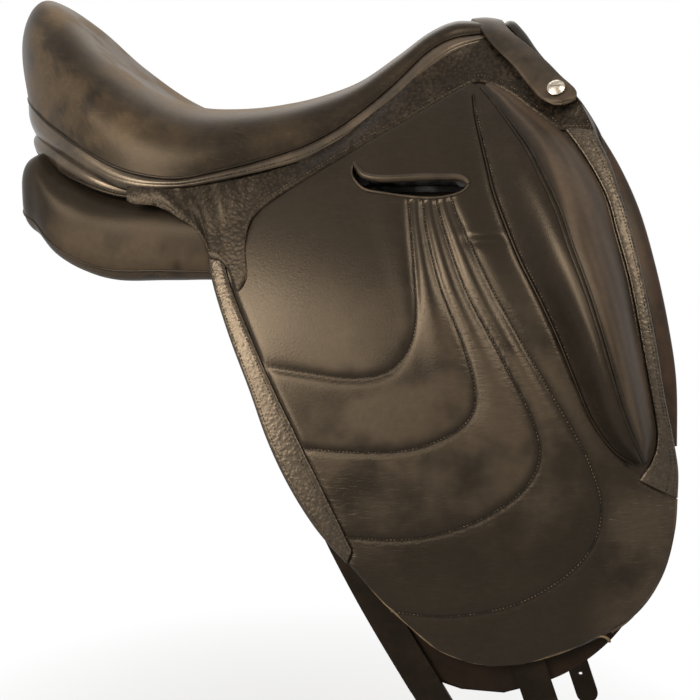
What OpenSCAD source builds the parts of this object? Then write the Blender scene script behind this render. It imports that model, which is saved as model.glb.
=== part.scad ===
// Dressage saddle. Millimetres, +X towards the horse's head, +Y to the near (left) side, +Z up.
// The origin lies on the centre plane, below the deepest part of the seat, where the horse's back is.
// Every side piece is drawn for the off (right) side and mirrored for the near side.

/* [Seat] */
// Leather thickness of the seat cover
seat_leather = 3; // [2:0.5:5]
// Foam thickness under the seat cover
foam_t = 18; // [12:1:22]
// Depth of the dish across the rear half of the seat
seat_dish = 12; // [4:1:20]
// Diameter of the piping cord round the seat
welt_d = 4.4; // [3:0.2:6]
// Leather thickness of the seat border and cantle facing
border_t = 3; // [2:0.5:4]
// Thickness of the seat web
web_t = 1.4; // [1:0.1:2]

/* [Tree] */
// Thickness of the laminated rails and cantle
rail_t = 9; // [6:1:12]
// Thickness of the head arch
head_t = 10; // [8:1:12]
// Half width across the outside of the tree's side flanges
flange_half = 84; // [80:1:88]
// Height of the flanges' lower edge
flange_low = 40; // [38:1:44]
// Thickness of the side bars
side_t = 8; // [6:1:9]
// Thickness of the steel head plate
plate_t = 3; // [2:0.5:4]
// Width of the steel head plate
plate_w = 26; // [18:1:34]
// Thickness of the spring strips
spring_t = 3; // [2:0.5:4]
// Diameter of the tree rivets
rivet_d = 5; // [4:0.5:6]
// Diameter of the tree rivets' heads
rivet_head_d = 9; // [8:0.5:11]
// Height of the tree rivets' heads
rivet_head_h = 1.6; // [1:0.2:2]

/* [Flap] */
// Leather thickness of the flap
flap_t = 5; // [4:0.5:7]
// Crown of the quilted pads above the flap
quilt_h = 5; // [3:0.5:7]
// Leather thickness of the pebbled bands
band_t = 2.5; // [1.5:0.5:3.5]
// Height of the thigh block above the flap
block_h = 36; // [26:1:42]
// Edge thickness of the thigh block at its seams
block_edge = 2; // [1.5:0.5:3]
// Leather thickness of the skirt
skirt_t = 3; // [2:0.5:4]
// Swell of the skirt between its edges
skirt_swell = 7; // [6:0.5:10]
// How far the flap runs up under the skirt
skirt_lap = 8; // [5:1:10]
// Length of the stirrup leather slot
slot_len = 100; // [90:1:110]
// Height of the stirrup leather slot
slot_h = 16; // [12:1:18]

/* [Stirrup bar] */
// Diameter of the stirrup bar
bar_d = 10; // [8:0.5:11]
// Free length of the stirrup bar
bar_len = 84; // [70:1:90]
// Height of the stirrup bar's axis
bar_z = 50; // [48:1:52]
// Gap behind the bar for the stirrup leather
leather_gap = 9; // [7:0.5:9]
// Length of the bar's fixing plate
bar_plate_len = 104; // [100:1:106]
// Height of the bar's fixing plate
bar_plate_h = 20; // [18:1:22]
// Thickness of the bar's fixing plate
bar_plate_t = 3; // [2.5:0.5:4]
// Length of the safety catch behind its pin
catch_len = 22; // [16:1:24]
// Diameter of the catch pin
catch_pin_d = 3; // [2:0.5:3.5]
// Thickness of the bar's tongue inside the catch
tongue_t = 4; // [3:0.5:5]

/* [Girth straps] */
// Width of a girth strap
billet_w = 27; // [24:1:30]
// Thickness of a girth strap
billet_t = 4; // [3:0.5:5]
// Length of a girth strap's free end
billet_len = 230; // [150:5:280]
// Diameter of the buckle holes
billet_hole_d = 5; // [4:0.5:6]
// Distance between buckle holes
billet_pitch = 25; // [20:1:28]
// Number of buckle holes in each strap
billet_holes = 7; // [4:1:8]
// Distance from the strap's tip to its last buckle hole
billet_tip = 40; // [30:1:50]

/* [Panel] */
// Half width of the gullet between the panels
gullet_half = 30; // [24:1:36]
// Thickness of the sweat flap
sweat_t = 3; // [2:0.5:4]
// Thickness of the panel's front wing
wing_t = 15; // [10:1:18]
// Radius of the panel roll under the cantle
roll_r = 9; // [6:0.5:11]

/* [Pommel] */
// Thickness of the pommel strap
strap_t = 2.5; // [2:0.5:3]
// Diameter of the pommel screw's head
screw_head_d = 15.6; // [12:0.2:18]
// Height of the pommel screw's head
screw_head_h = 2.4; // [1.6:0.2:3]
// Diameter of the pommel screw's shank
screw_d = 5; // [4:0.5:6]
// Width of the pommel screw's slot
screw_slot = 1.6; // [1.2:0.2:2.4]

/* [Fit] */
// Clearance between neighbouring pieces
fit = 0.3; // [0.2:0.05:0.5]
// Radial running clearance of the catch pins
run_fit = 0.05; // [0.03:0.01:0.1]

/* [Hidden] */
$fn = 48;

smooth_leather = [0.16, 0.13, 0.10];
pebbled_leather = [0.12, 0.10, 0.08];
strap_leather = [0.10, 0.08, 0.06];
beech = [0.62, 0.48, 0.32];
steel = [0.45, 0.46, 0.48];
nickel = [0.80, 0.78, 0.74];
webbing = [0.75, 0.70, 0.58];
foam_colour = [0.85, 0.80, 0.62];

// Half width of the flaps' inner face at a place along the saddle: wide at the bottom, pinched at the top
barrel_half = 228;
barrel_pinch = 106;
barrel_low = 422;
barrel_span = 470;
barrel_power = 2.33;
barrel_mid = 105;
barrel_round = 2100;
function side_y(x, z) =
    barrel_half - barrel_pinch * pow(max(z + barrel_low, 0) / barrel_span, barrel_power)
    - pow(x - barrel_mid, 2) / barrel_round;

// The tree, seat and skirt are drawn for one width at the waist, and spread with the barrel's own
drawn_waist = 126;
spread = side_y(barrel_mid, flange_low) / drawn_waist;
flange_y = flange_half * spread;
function spread_out(pts) = [for (p = pts) [p[0], p[1] * spread, p[2]]];

// Layers counted outwards from the flap's inner face
strap_out = -fit;
strap_in = strap_out - billet_t;
sweat_out = strap_in - fit;
sweat_in = sweat_out - sweat_t;
wing_out = sweat_in - fit;
wing_in = wing_out - wing_t;
flap_clear = 0.5;
on_flap = flap_t + flap_clear;

// Smooth curve through a list of points
function on_curve(pts, t) =
    let (n = len(pts) - 1)
    let (i = min(floor(t), n - 1))
    let (f = t - i)
    let (p0 = pts[max(i - 1, 0)], p1 = pts[i], p2 = pts[i + 1], p3 = pts[min(i + 2, n)])
    0.5 * (2 * p1 + (p2 - p0) * f + (2 * p0 - 5 * p1 + 4 * p2 - p3) * f * f
        + (3 * p1 - p0 - 3 * p2 + p3) * f * f * f);
function curve(pts, steps) = [for (i = [0 : steps]) on_curve(pts, (len(pts) - 1) * i / steps)];
function mix(a, b, t) = a + (b - a) * t;
function unit(v) = v / norm(v);
function right(p) = [p[0], -p[1], p[2]];

// Closed solid between two grids of points. Rows run down, columns run forwards, seen from outside.
module slab(inner, outer) {
    rows = len(inner);
    cols = len(inner[0]);
    total = rows * cols;
    function inn(r, c) = r * cols + c;
    function out(r, c) = total + r * cols + c;
    last_r = rows - 1;
    last_c = cols - 1;
    skins = [
        for (r = [0 : last_r - 1]) for (c = [0 : last_c - 1]) each [
            [out(r, c), out(r, c + 1), out(r + 1, c + 1)],
            [out(r, c), out(r + 1, c + 1), out(r + 1, c)],
            [inn(r, c), inn(r + 1, c + 1), inn(r, c + 1)],
            [inn(r, c), inn(r + 1, c), inn(r + 1, c + 1)]
        ]
    ];
    ends = [
        for (c = [0 : last_c - 1]) each [
            [inn(0, c), inn(0, c + 1), out(0, c + 1)],
            [inn(0, c), out(0, c + 1), out(0, c)],
            [out(last_r, c), out(last_r, c + 1), inn(last_r, c + 1)],
            [out(last_r, c), inn(last_r, c + 1), inn(last_r, c)]
        ]
    ];
    sides = [
        for (r = [0 : last_r - 1]) each [
            [out(r, 0), out(r + 1, 0), inn(r + 1, 0)],
            [out(r, 0), inn(r + 1, 0), inn(r, 0)],
            [out(r + 1, last_c), out(r, last_c), inn(r, last_c)],
            [out(r + 1, last_c), inn(r, last_c), inn(r + 1, last_c)]
        ]
    ];
    points = concat([for (row = inner) each row], [for (row = outer) each row]);
    polyhedron(points, concat(skins, ends, sides), convexity = 6);
}

// Closed tube through rings of points
module tube(rings) {
    n = len(rings);
    m = len(rings[0]);
    walls = [
        for (i = [0 : n - 2]) for (k = [0 : m - 1]) each [
            [i * m + k, i * m + (k + 1) % m, (i + 1) * m + (k + 1) % m],
            [i * m + k, (i + 1) * m + (k + 1) % m, (i + 1) * m + k]
        ]
    ];
    caps = [
        for (k = [1 : m - 2]) each [
            [0, k + 1, k],
            [(n - 1) * m, (n - 1) * m + k, (n - 1) * m + k + 1]
        ]
    ];
    polyhedron([for (ring = rings) each ring], concat(walls, caps), convexity = 6);
}

// Grid on the flap's surface, ruled between two edges given as [x, z]
function side_grid(left, right_edge, rows, cols, lift) =
    let (a = curve(left, rows), b = curve(right_edge, rows))
    [for (r = [0 : rows]) [for (c = [0 : cols])
        let (p = mix(a[r], b[r], c / cols))
        [p[0], -(side_y(p[0], p[1]) + lift(c / cols, r / rows)), p[1]]]];
module sheet(left, right_edge, rows, cols, low, high) {
    slab(
        side_grid(left, right_edge, rows, cols, function (u, v) low),
        side_grid(left, right_edge, rows, cols, high)
    );
}
module flat_sheet(left, right_edge, rows, cols, low, high) {
    sheet(left, right_edge, rows, cols, low, function (u, v) high);
}
module near_side() {
    mirror([0, 1, 0]) children();
}

// The flap's bend line, from under the skirt's tongue to the seam at the front, as [x, z]
bend_rear = [-34, -52];
bend_front = [300, 80];
bend_gap = 1;
function bend_at(t, drop) = mix(bend_rear, bend_front, t) - [0, drop];

// Seat: the welt line and the crown line in pairs, from the pommel to the back of the cantle
welt_line = spread_out([
    [187, 48, 187], [164, 53, 184], [139, 61, 170], [109, 73, 140], [72, 88, 108], [39, 101, 87],
    [1, 116, 72], [-46, 132, 59], [-85, 138, 53], [-135, 134, 62], [-182, 120, 84], [-222, 98, 106],
    [-250, 75, 125], [-268, 48, 137], [-278, 22, 143], [-281, 2, 145]
]);
crown_line = [
    [190, 0, 211], [165, 0, 205], [140, 0, 194], [112, 0, 174], [78, 0, 151], [44, 0, 138],
    [5, 0, 129], [-40, 0, 126], [-85, 0, 131], [-135, 0, 153], [-185, 0, 189], [-226, 0, 226],
    [-258, 0, 240], [-281, 0, 217], [-290, 0, 178], [-284, 0, 150]
];
seat_last = len(welt_line) - 1;
seat_round = 0.8;
dish_from = 6;
dish_to = 12;
dish_half = 0.62;
curve_step = 0.05;
function crown_way(u) =
    unit(on_curve(crown_line, min(u + curve_step, seat_last))
        - on_curve(crown_line, max(u - curve_step, 0)));
function dish_at(u, s) =
    u <= dish_from || u >= dish_to ? 0 :
    seat_dish * sin(180 * (u - dish_from) / (dish_to - dish_from))
    * pow(max(0, 1 - pow(s / dish_half, 2)), 2);
function welt_way(u) =
    unit(on_curve(welt_line, min(u + curve_step, seat_last)) - on_curve(welt_line, max(u - curve_step, 0)));
function rim_in(u) = let (way = welt_way(u)) unit([-way[1], way[0], 0]);
function rim_up(u) = let (way = welt_way(u)) cross(unit(cross(way, [0, 0, 1])), way);
// A point of the seat: u along it, angle across it, inset inwards from the cover's outside
middle_gap = 0.4;
function seat_point(u, angle, inset) =
    let (c = on_curve(crown_line, u), way = crown_way(u))
    let (w = on_curve(welt_line, u) + inset * rim_in(u))
    let (rim = [w[0], max(w[1], middle_gap), w[2]])
    let (top = [c[0] - inset * way[2], 0, c[2] + inset * way[0]])
    let (s = pow(abs(sin(angle)), seat_round), k = pow(abs(cos(angle)), seat_round))
    [mix(rim[0], top[0], k), sign(angle) * rim[1] * s, mix(rim[2], top[2], k) - dish_at(u, s)];
// Layers of the seat share one grid of rows and columns, so that their facets lie parallel
seat_from = 0.5;
seat_step = 0.5;
seat_cols = 16;
function seat_grid(from, to, first, last, inset) =
    [for (u = [from : seat_step : to])
        [for (c = [first : last]) seat_point(min(u, to - end_trim), 180 * c / seat_cols - 90, inset)]];
module seat_layer(from, to, first, last, outside, inside) {
    slab(seat_grid(from, to, first, last, inside), seat_grid(from, to, first, last, outside));
}
end_trim = 0.06;
foam_out = seat_leather + fit;
foam_in = foam_out + foam_t;
tree_out = foam_in + fit;
tree_in = tree_out + rail_t;
spring_out = tree_in + fit;
spring_in = spring_out + spring_t;
web_out = foam_in + fit;
web_in = web_out + web_t;
cantle_from = 11;
cantle_to = 14.5;
rail_from = 2.5;
web_to = 10.5;
web_first = 6;
spring_from = 4;
spring_first = 2;
rail_last = 5;

module seat_cover() {
    color(smooth_leather) seat_layer(seat_from, seat_last, 0, seat_cols, 0, seat_leather);
}
module seat_foam() {
    color(foam_colour) seat_layer(seat_from, seat_last, 0, seat_cols, foam_out, foam_in);
}
module seat_web() {
    color(webbing) seat_layer(rail_from, web_to, web_first, seat_cols - web_first, web_out, web_in);
}
module tree_cantle() {
    color(beech) seat_layer(cantle_from, cantle_to, 1, seat_cols - 1, tree_out, tree_in);
}
module tree_rail(first, last) {
    color(beech) seat_layer(rail_from, cantle_from, first, last, tree_out, tree_in);
}
module tree_rail_right() {
    tree_rail(1, rail_last);
}
module tree_rail_left() {
    tree_rail(seat_cols - rail_last, seat_cols - 1);
}
module tree_spring(first) {
    color(steel) seat_layer(spring_from, web_to, first, first + 1, spring_out, spring_in);
}
module tree_spring_right() {
    tree_spring(spring_first);
}
module tree_spring_left() {
    tree_spring(seat_cols - spring_first - 1);
}

// Tree head: an arch that leans forwards as it comes down, given as [front x, y, z] from crown to point
head_rear = 140;
head_crown = [198, 0, 186];
head_arch = concat(
    spread_out([head_crown, [203, 25, 179], [232, 42, 158], [254, 56, 130], [265, 70, 98]]),
    [[266, flange_y, flange_low + 32], [262, flange_y, flange_low]]
);
head_steps = 10;
head_drop = 20.8;
// The head's rear edge sinks with the seat's crown, while the flanges stay level
function head_fall(p, x) =
    head_drop * (p[0] - x) / (p[0] - head_rear) * (p[2] - flange_low) / (head_crown[2] - flange_low);
function head_point(i) = let (p = on_curve(head_arch, i)) [p[0], min(p[1], flange_y), p[2]];
head_aim = [10, 40];
function head_inward(p) =
    p[1] > flange_y - 1 ? [0, -1, 0] : unit([0, -p[1] - head_aim[0], head_aim[1] - p[2]]);
function head_row(i, inset, from, to, steps) =
    let (p = head_point(i) + inset * head_inward(head_point(i)))
    [for (c = [0 : steps])
        let (x = mix(from(p), to(p), c / steps))
        [x, -p[1], p[2] - head_fall(p, x)]];
// Rows from the near side's point over the crown to the off side's point
function head_grid(inset, from, to, steps) =
    let (half = [for (k = [0 : head_steps])
        head_row(k * (len(head_arch) - 1) / head_steps, inset, from, to, steps)])
    concat(
        [for (k = [head_steps : -1 : 1]) [for (p = half[k]) right(p)]],
        half
    );
head_plate_back = 8;
plate_seat = head_t + 2 * fit;
plate_in = plate_seat + plate_t;
module tree_head() {
    color(beech)
        difference() {
            slab(
                head_grid(head_t, function (p) head_rear, function (p) p[0], 3),
                head_grid(0, function (p) head_rear, function (p) p[0], 3)
            );
            plate_rivet_holes();
            bar_rivet_holes();
            near_side() bar_rivet_holes();
        }
}
module head_plate() {
    color(steel)
        difference() {
            slab(
                head_grid(plate_in, function (p) p[0] - head_plate_back - plate_w,
                    function (p) p[0] - head_plate_back, 1),
                head_grid(plate_seat, function (p) p[0] - head_plate_back - plate_w,
                    function (p) p[0] - head_plate_back, 1)
            );
            plate_rivet_holes();
        }
}
// Rivets of the head plate, two through each flange
plate_rivet_x = 264 - head_plate_back - plate_w / 2;
plate_rivet_z = [flange_low + 7, flange_low + 17];
module plate_rivet_holes() {
    for (z = plate_rivet_z)
        translate([plate_rivet_x, 0, z])
            rotate([90, 0, 0])
                cylinder(h = 2 * flange_y + 2 * fit, d = rivet_d + 2 * run_fit, center = true);
}
module rivet(length) {
    cylinder(h = length, d = rivet_d);
    translate([0, 0, length]) cylinder(h = rivet_head_h, d = rivet_head_d);
    translate([0, 0, -rivet_head_h]) cylinder(h = rivet_head_h, d = rivet_head_d);
}
module plate_rivets_right() {
    grip = plate_in + fit;
    for (z = plate_rivet_z)
        translate([plate_rivet_x, -flange_y + grip, z])
            rotate([90, 0, 0])
                rivet(grip);
}
module head_plate_rivets() {
    color(steel) {
        plate_rivets_right();
        near_side() plate_rivets_right();
    }
}

// Side bar of the tree: runs from under the rail down to a level flange behind the head
side_front = head_rear - 0.5;
side_top = spread_out([[side_front, 48, 156], [109, 50, 133], [82, 61, 107], [60, 70, 92]]);
side_knee = [[side_front, 32], [110, 30], [86, 28], [66, 26]];
side_steps = 8;
function side_rows(inset) =
    let (top = curve(side_top, side_steps), knee = curve(side_knee, side_steps))
    [for (i = [0 : side_steps]) [
        [top[i][0], -(top[i][1] - inset), top[i][2]],
        [knee[i][0], -(flange_y - inset), flange_low + knee[i][1]],
        [knee[i][0], -(flange_y - inset), flange_low]
    ]];
module tree_side_right() {
    color(beech)
        difference() {
            slab(side_rows(side_t), side_rows(0));
            bar_rivet_holes();
        }
}
module tree_side_left() {
    near_side() tree_side_right();
}

// Piping cord under the seat cover's rim, all the way round
welt_sides = 6;
welt_steps = 36;
welt_drop = fit + welt_d / 2;
function under_rim(u, drop) = on_curve(welt_line, u) - drop * rim_up(u);
function welt_half(steps) = [for (i = [0 : steps]) under_rim(seat_last * i / steps, welt_drop)];
function rim_line(pts) = concat(
    [for (p = pts) right(p)],
    [for (i = [len(pts) - 1 : -1 : 0]) pts[i]]
);
function ring_at(path, i, r, n) =
    let (way = unit(path[min(i + 1, len(path) - 1)] - path[max(i - 1, 0)]))
    let (side = unit(cross(way, [0, 0, 1])), up = cross(side, way))
    [for (k = [0 : n - 1]) path[i] + r * (cos(360 * k / n) * side + sin(360 * k / n) * up)];
module seat_welt() {
    path = rim_line(welt_half(welt_steps));
    color(strap_leather)
        tube([for (i = [0 : len(path) - 1]) ring_at(path, i, welt_d / 2, welt_sides)]);
}

// Seat border: smooth leather band from the welt down to the skirt, and the cantle facing at the back
border_low = spread_out([
    [186, 51, 179], [164, 59, 170], [141, 68, 153], [110, 80, 123], [74, 94, 95], [40, 107, 75],
    [4, 120, 63], [-46, 135, 51], [-85, 139, 45], [-134, 134, 46], [-185, 117, 67], [-222, 94, 86],
    [-245, 72, 96], [-261, 48, 102], [-270, 22, 104], [-273, 2, 105]
]);
border_steps = 26;
function border_rows(inset) =
    let (half = [for (i = [0 : border_steps])
        let (u = seat_last * i / border_steps)
        let (top = under_rim(u, 2 * welt_drop + fit), low = on_curve(border_low, u))
        [for (t = [0, 0.5, 1])
            let (p = mix(top, low, t) + inset * rim_in(u))
            [p[0], max(p[1], middle_gap), p[2]]]])
    concat(
        [for (row = half) [for (p = row) right(p)]],
        [for (i = [border_steps : -1 : 0]) half[i]]
    );
module seat_border() {
    color(smooth_leather) slab(border_rows(border_t), border_rows(0));
}

// Skirt of pebbled leather, from the front seam back to the tab, as pairs of upper and lower edge points
skirt_high = spread_out([
    [302, 106, 90], [268, 88, 123], [247, 70, 149], [222, 52, 172], [203, 50, 175], [180, 55, 171],
    [151, 66, 158], [126, 76, 134], [94, 89, 106], [65, 99, 86], [38, 109, 71], [14, 118, 62],
    [2, 122, 59], [-8, 126, 57], [-20, 130, 54], [-32, 133, 51], [-45, 136, 48], [-62, 139, 45],
    [-85, 140, 42], [-110, 139, 42], [-148, 134, 46]
]);
skirt_low = [
    [291, 81, 0], [273, 93, 0], [258, 105, 0], [238, 121, 0], [217, 135, 0], [194, 143, 0],
    [165, 132, 0], [130, 111, 0], [95, 84, 0], [62, 65, 0], [28, 46, 0], [0, 26, 0],
    [-12, 8, 0], [-13, -14, 0], [-9, -38, 0], [-19, -45, 0], [-33, -24, 0], [-48, -14, 4],
    [-68, 6, 8], [-105, 27, 18], [-146, 36, 34]
];
skirt_steps = 40;
skirt_cols = 3;
skirt_up = [0, 0, 0.7];
function skirt_rows(inset) =
    let (low3 = [for (p = skirt_low) [p[0], side_y(p[0], p[1]) + on_flap + skirt_t + p[2], p[1]]])
    let (a = curve(skirt_high, skirt_steps), b = curve(low3, skirt_steps))
    [for (i = [0 : skirt_steps]) [for (c = [0 : skirt_cols])
        let (t = c / skirt_cols, p = mix(a[i] + skirt_up, b[i], t))
        [p[0], -(p[1] + skirt_swell * sin(180 * t) - inset), p[2]]]];
module skirt_right() {
    color(pebbled_leather)
        difference() {
            slab(skirt_rows(skirt_t), skirt_rows(0));
            screw_hole();
        }
}
module skirt_left() {
    near_side() skirt_right();
}

// Pommel strap: over the arch from screw to screw, as rear and front edge points of the off half
strap_rear = spread_out([
    [176, 0, 214], [180, 22, 210.5], [188, 43, 194.5], [202, 57, 177], [218, 70, 160], [230, 81, 144],
    [241, 91, 130], [250, 97, 121], [259, 100, 117]
]);
strap_front = spread_out([
    [206, 0, 211], [209, 22, 206], [220, 44, 192], [236, 58, 177], [251, 71, 161], [264, 84, 146],
    [274, 93, 135], [276, 97, 127], [270, 100, 119]
]);
strap_steps = 16;
function strap_rows(inset) =
    let (a = curve(strap_rear, strap_steps), b = curve(strap_front, strap_steps))
    let (half = [for (i = [0 : strap_steps])
        let (step = inset * (i == 0 ? [0, 0, -1] : unit([0, -min(a[i][1], 60), -60])))
        [for (t = [0, 0.5, 1]) right(mix(a[i], b[i], t) + step)]])
    concat([for (i = [strap_steps : -1 : 1]) [for (p = half[i]) right(p)]], half);
module pommel_strap() {
    color(pebbled_leather)
        difference() {
            slab(strap_rows(strap_t), strap_rows(0));
            screw_hole();
            near_side() screw_hole();
        }
}
// Pommel screw: slotted domed head on the strap, shank through strap and skirt
screw_at = spread_out([[258, 93.2, 130.6]])[0];
screw_tilt = 60;
screw_turn = -98;
screw_slot_turn = 96;
screw_slot_depth = 1;
screw_len = 12;
screw_lift = 0.6;
module at_screw() {
    translate(right(screw_at)) rotate([0, screw_tilt, screw_turn]) children();
}
module screw_hole() {
    at_screw() cylinder(h = 4 * screw_len, d = screw_d + 2 * fit, center = true);
}
module pommel_screw_right() {
    dome_r = (pow(screw_head_d / 2, 2) + pow(screw_head_h, 2)) / (2 * screw_head_h);
    color(nickel)
        at_screw()
            difference() {
                union() {
                    translate([0, 0, screw_lift])
                        intersection() {
                            cylinder(h = screw_head_h, d = screw_head_d);
                            translate([0, 0, screw_head_h - dome_r]) sphere(r = dome_r);
                        }
                    translate([0, 0, -screw_len]) cylinder(h = screw_len + screw_lift + 0.5, d = screw_d);
                }
                translate([0, 0, screw_lift + screw_head_h - screw_slot_depth / 2])
                    rotate([0, 0, screw_slot_turn])
                        cube([2 * screw_head_d, screw_slot, screw_slot_depth], center = true);
            }
}
module pommel_screw_left() {
    near_side() pommel_screw_right();
}

// Upper flap: stays with the tree, from under the skirt down to the bend line, with the stirrup leather slot
upper_tail = [[-24, -6], [-33, -26]];
slot_mid = [132, 44];
upper_top = concat(
    [for (i = [0 : 12]) [skirt_low[i][0], skirt_low[i][1] + skirt_lap]],
    upper_tail
);
upper_bottom = [for (i = [0 : 14]) bend_at(1 - i / 14, -bend_gap)];
module slot_cut() {
    end = slot_len / 2 - slot_h / 2;
    translate([slot_mid[0], 0, slot_mid[1]])
        rotate([90, 0, 0])
            linear_extrude(height = barrel_half)
                union() {
                    square([2 * end, slot_h], center = true);
                    for (x = [-end, end])
                        translate([x, 0]) circle(d = slot_h);
                }
}
module upper_flap_right() {
    color(smooth_leather)
        difference() {
            flat_sheet(upper_top, upper_bottom, 28, 4, 0, flap_t);
            slot_cut();
        }
}
module upper_flap_left() {
    near_side() upper_flap_right();
}

// Stirrup bar: fixing plate on the tree's flange, bar held off it by a boss, tongue for the safety catch
bar_front = 178;
bar_plate_front = 200;
plate_out = flange_y + fit + bar_plate_t;
bar_y = plate_out + leather_gap + bar_d / 2;
bar_rear = bar_front - bar_len;
boss_d = bar_d + 2;
boss_end = bar_y + bar_d / 2 + 0.5;
pin_back = 5;
pin_x = bar_rear - pin_back;
tongue_r = bar_d / 2 - 0.5;
bar_rivet_x = [bar_plate_front - 10, bar_plate_front - 44, bar_plate_front - bar_plate_len + 16];
module bar_rivet_holes() {
    for (x = bar_rivet_x)
        translate([x, 0, bar_z])
            rotate([90, 0, 0])
                cylinder(h = bar_y, d = rivet_d + 2 * run_fit);
}
module stirrup_bar_right() {
    color(steel)
        difference() {
            union() {
                translate([bar_plate_front - bar_plate_len, -plate_out, bar_z - bar_plate_h / 2])
                    cube([bar_plate_len, bar_plate_t, bar_plate_h]);
                translate([bar_rear, -bar_y, bar_z])
                    rotate([0, 90, 0]) cylinder(h = bar_len, d = bar_d);
                translate([bar_front, -plate_out + bar_plate_t / 2, bar_z])
                    rotate([90, 0, 0]) cylinder(h = boss_end - plate_out + bar_plate_t / 2, d = boss_d);
                translate([pin_x, -bar_y - tongue_t / 2, bar_z - tongue_r])
                    cube([pin_back + 1, tongue_t, 2 * tongue_r]);
                translate([pin_x, -bar_y + tongue_t / 2, bar_z])
                    rotate([90, 0, 0]) cylinder(h = tongue_t, r = tongue_r);
            }
            bar_rivet_holes();
            translate([pin_x, -bar_y, bar_z])
                rotate([90, 0, 0])
                    cylinder(h = 2 * bar_d, d = catch_pin_d + 2 * run_fit, center = true);
        }
}
module stirrup_bar_left() {
    near_side() stirrup_bar_right();
}
module stirrup_bar_rivets_right() {
    color(steel)
        for (x = bar_rivet_x) {
            inner = x > head_rear ? head_t : side_t;
            grip = inner + fit + bar_plate_t;
            translate([x, -flange_y + inner, bar_z])
                rotate([90, 0, 0])
                    rivet(grip);
        }
}
module stirrup_bar_rivets_left() {
    near_side() stirrup_bar_rivets_right();
}
// Safety catch: a fork round the tongue with a thumb piece behind it
catch_root = tongue_r + 1;
module stirrup_catch_right() {
    color(steel)
        translate([pin_x, -bar_y, bar_z])
            difference() {
                union() {
                    rotate([90, 0, 0]) cylinder(h = bar_d, r = tongue_r, center = true);
                    translate([-catch_root - 1, -bar_d / 2, -tongue_r])
                        cube([catch_root + 1, bar_d, 2 * tongue_r]);
                    translate([-catch_len + tongue_r, -bar_d / 2, -tongue_r])
                        cube([catch_len - tongue_r - catch_root, bar_d, 2 * tongue_r]);
                    translate([-catch_len + tongue_r, 0, 0])
                        rotate([90, 0, 0]) cylinder(h = bar_d, r = tongue_r, center = true);
                }
                translate([-catch_root, -tongue_t / 2 - fit, -bar_d])
                    cube([2 * catch_root, tongue_t + 2 * fit, 2 * bar_d]);
                rotate([90, 0, 0]) cylinder(h = 2 * bar_d, d = catch_pin_d, center = true);
            }
}
module stirrup_catch_left() {
    near_side() stirrup_catch_right();
}
module catch_pin_right() {
    color(steel)
        translate([pin_x, -bar_y, bar_z])
            rotate([90, 0, 0]) cylinder(h = bar_d, d = catch_pin_d, center = true);
}
module catch_pin_left() {
    near_side() catch_pin_right();
}

// Panel: stuffed cushion, as stations of [x, half width, centre height, half height, fall across]
panel_stations = [
    [-256, 14, 36, 12, 0.05], [-249, 36, 33, 26, 0.10], [-234, 48, 26, 33, 0.16], [-205, 54, 12, 40, 0.22],
    [-150, 55, 0, 45, 0.28], [-90, 56, -5, 45, 0.32], [-30, 57, -8, 43, 0.40], [40, 56, -8, 38, 0.50],
    [100, 50, -6, 33, 0.60], [150, 44, 0, 29, 0.68], [200, 40, 8, 25, 0.75], [240, 36, 13, 21, 0.80],
    [262, 26, 18, 13, 0.80]
];
panel_rear_in = 14;
panel_tail = [225, 31];
panel_rings = 22;
panel_sides = 14;
panel_round = 0.62;
panel_contact = -40;
panel_swell = 1.2;
panel_inner = -0.9;
panel_free = 1000;
function bent(v) = sign(v) * pow(abs(v), panel_round);
function panel_ring(s) =
    let (x = s[0], a = s[1], zc = s[2], b = s[3], fall = s[4])
    let (inner = gullet_half + panel_rear_in * pow(max(0, (-x - panel_tail[0]) / panel_tail[1]), 2))
    let (around = [for (k = [0 : panel_sides - 1])
        let (c = bent(cos(360 * k / panel_sides)), h = bent(sin(360 * k / panel_sides)))
        [c, zc + b * h - fall * a * c]])
    let (reach = x < panel_contact ? a : min([for (p = around)
        p[0] > panel_inner ? (side_y(x, p[1]) + sweat_in - fit - inner) / (1 + p[0]) : panel_free]))
    let (half = x < panel_contact ? a : min(a * panel_swell, reach))
    [for (p = around) [x, -(inner + half * (1 + p[0])), p[1]]];
module panel_right() {
    color(smooth_leather)
        tube([for (s = curve(panel_stations, panel_rings)) panel_ring(s)]);
}
module panel_left() {
    near_side() panel_right();
}
// Panel roll under the cantle facing, drawn in at both ends
roll_from = 9;
roll_to = 14;
roll_steps = 14;
roll_sides = 8;
roll_tuck = 5;
module panel_roll_right() {
    path = [for (i = [0 : roll_steps])
        let (u = mix(roll_from, roll_to, i / roll_steps), p = on_curve(border_low, u))
        right(p + roll_tuck * rim_in(u) - [0, 0, 2 * fit + roll_r * roll_swell(i)])];
    color(smooth_leather)
        tube([for (i = [0 : roll_steps])
            ring_at(path, i, roll_r * roll_swell(i), roll_sides)]);
}
roll_end = 0.35;
function roll_swell(i) = mix(roll_end, 1, sin(180 * i / roll_steps));
module panel_roll_left() {
    near_side() panel_roll_right();
}
// Padded front wing of the panel, seen beyond the flap's front edge
wing_rear = [[272, 80], [272, 46], [272, 8], [268, -40], [272, -90], [278, -140], [284, -178]];
wing_front = [[292, 95], [315, 62], [331, 22], [343, -25], [353, -72], [360, -120], [362, -174]];
wing_edge = 4;
wing_shoulder = 0.08;
function wing_swell(u) = sqrt(sin(180 * mix(wing_shoulder, 1 - wing_shoulder, u)));
module panel_wing_right() {
    color(smooth_leather)
        slab(
            side_grid(wing_rear, wing_front, 12, 4,
                function (u, v) wing_out - wing_edge - (wing_t - wing_edge) * wing_swell(u)),
            side_grid(wing_rear, wing_front, 12, 4, function (u, v) wing_out)
        );
}
module panel_wing_left() {
    near_side() panel_wing_right();
}
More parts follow.
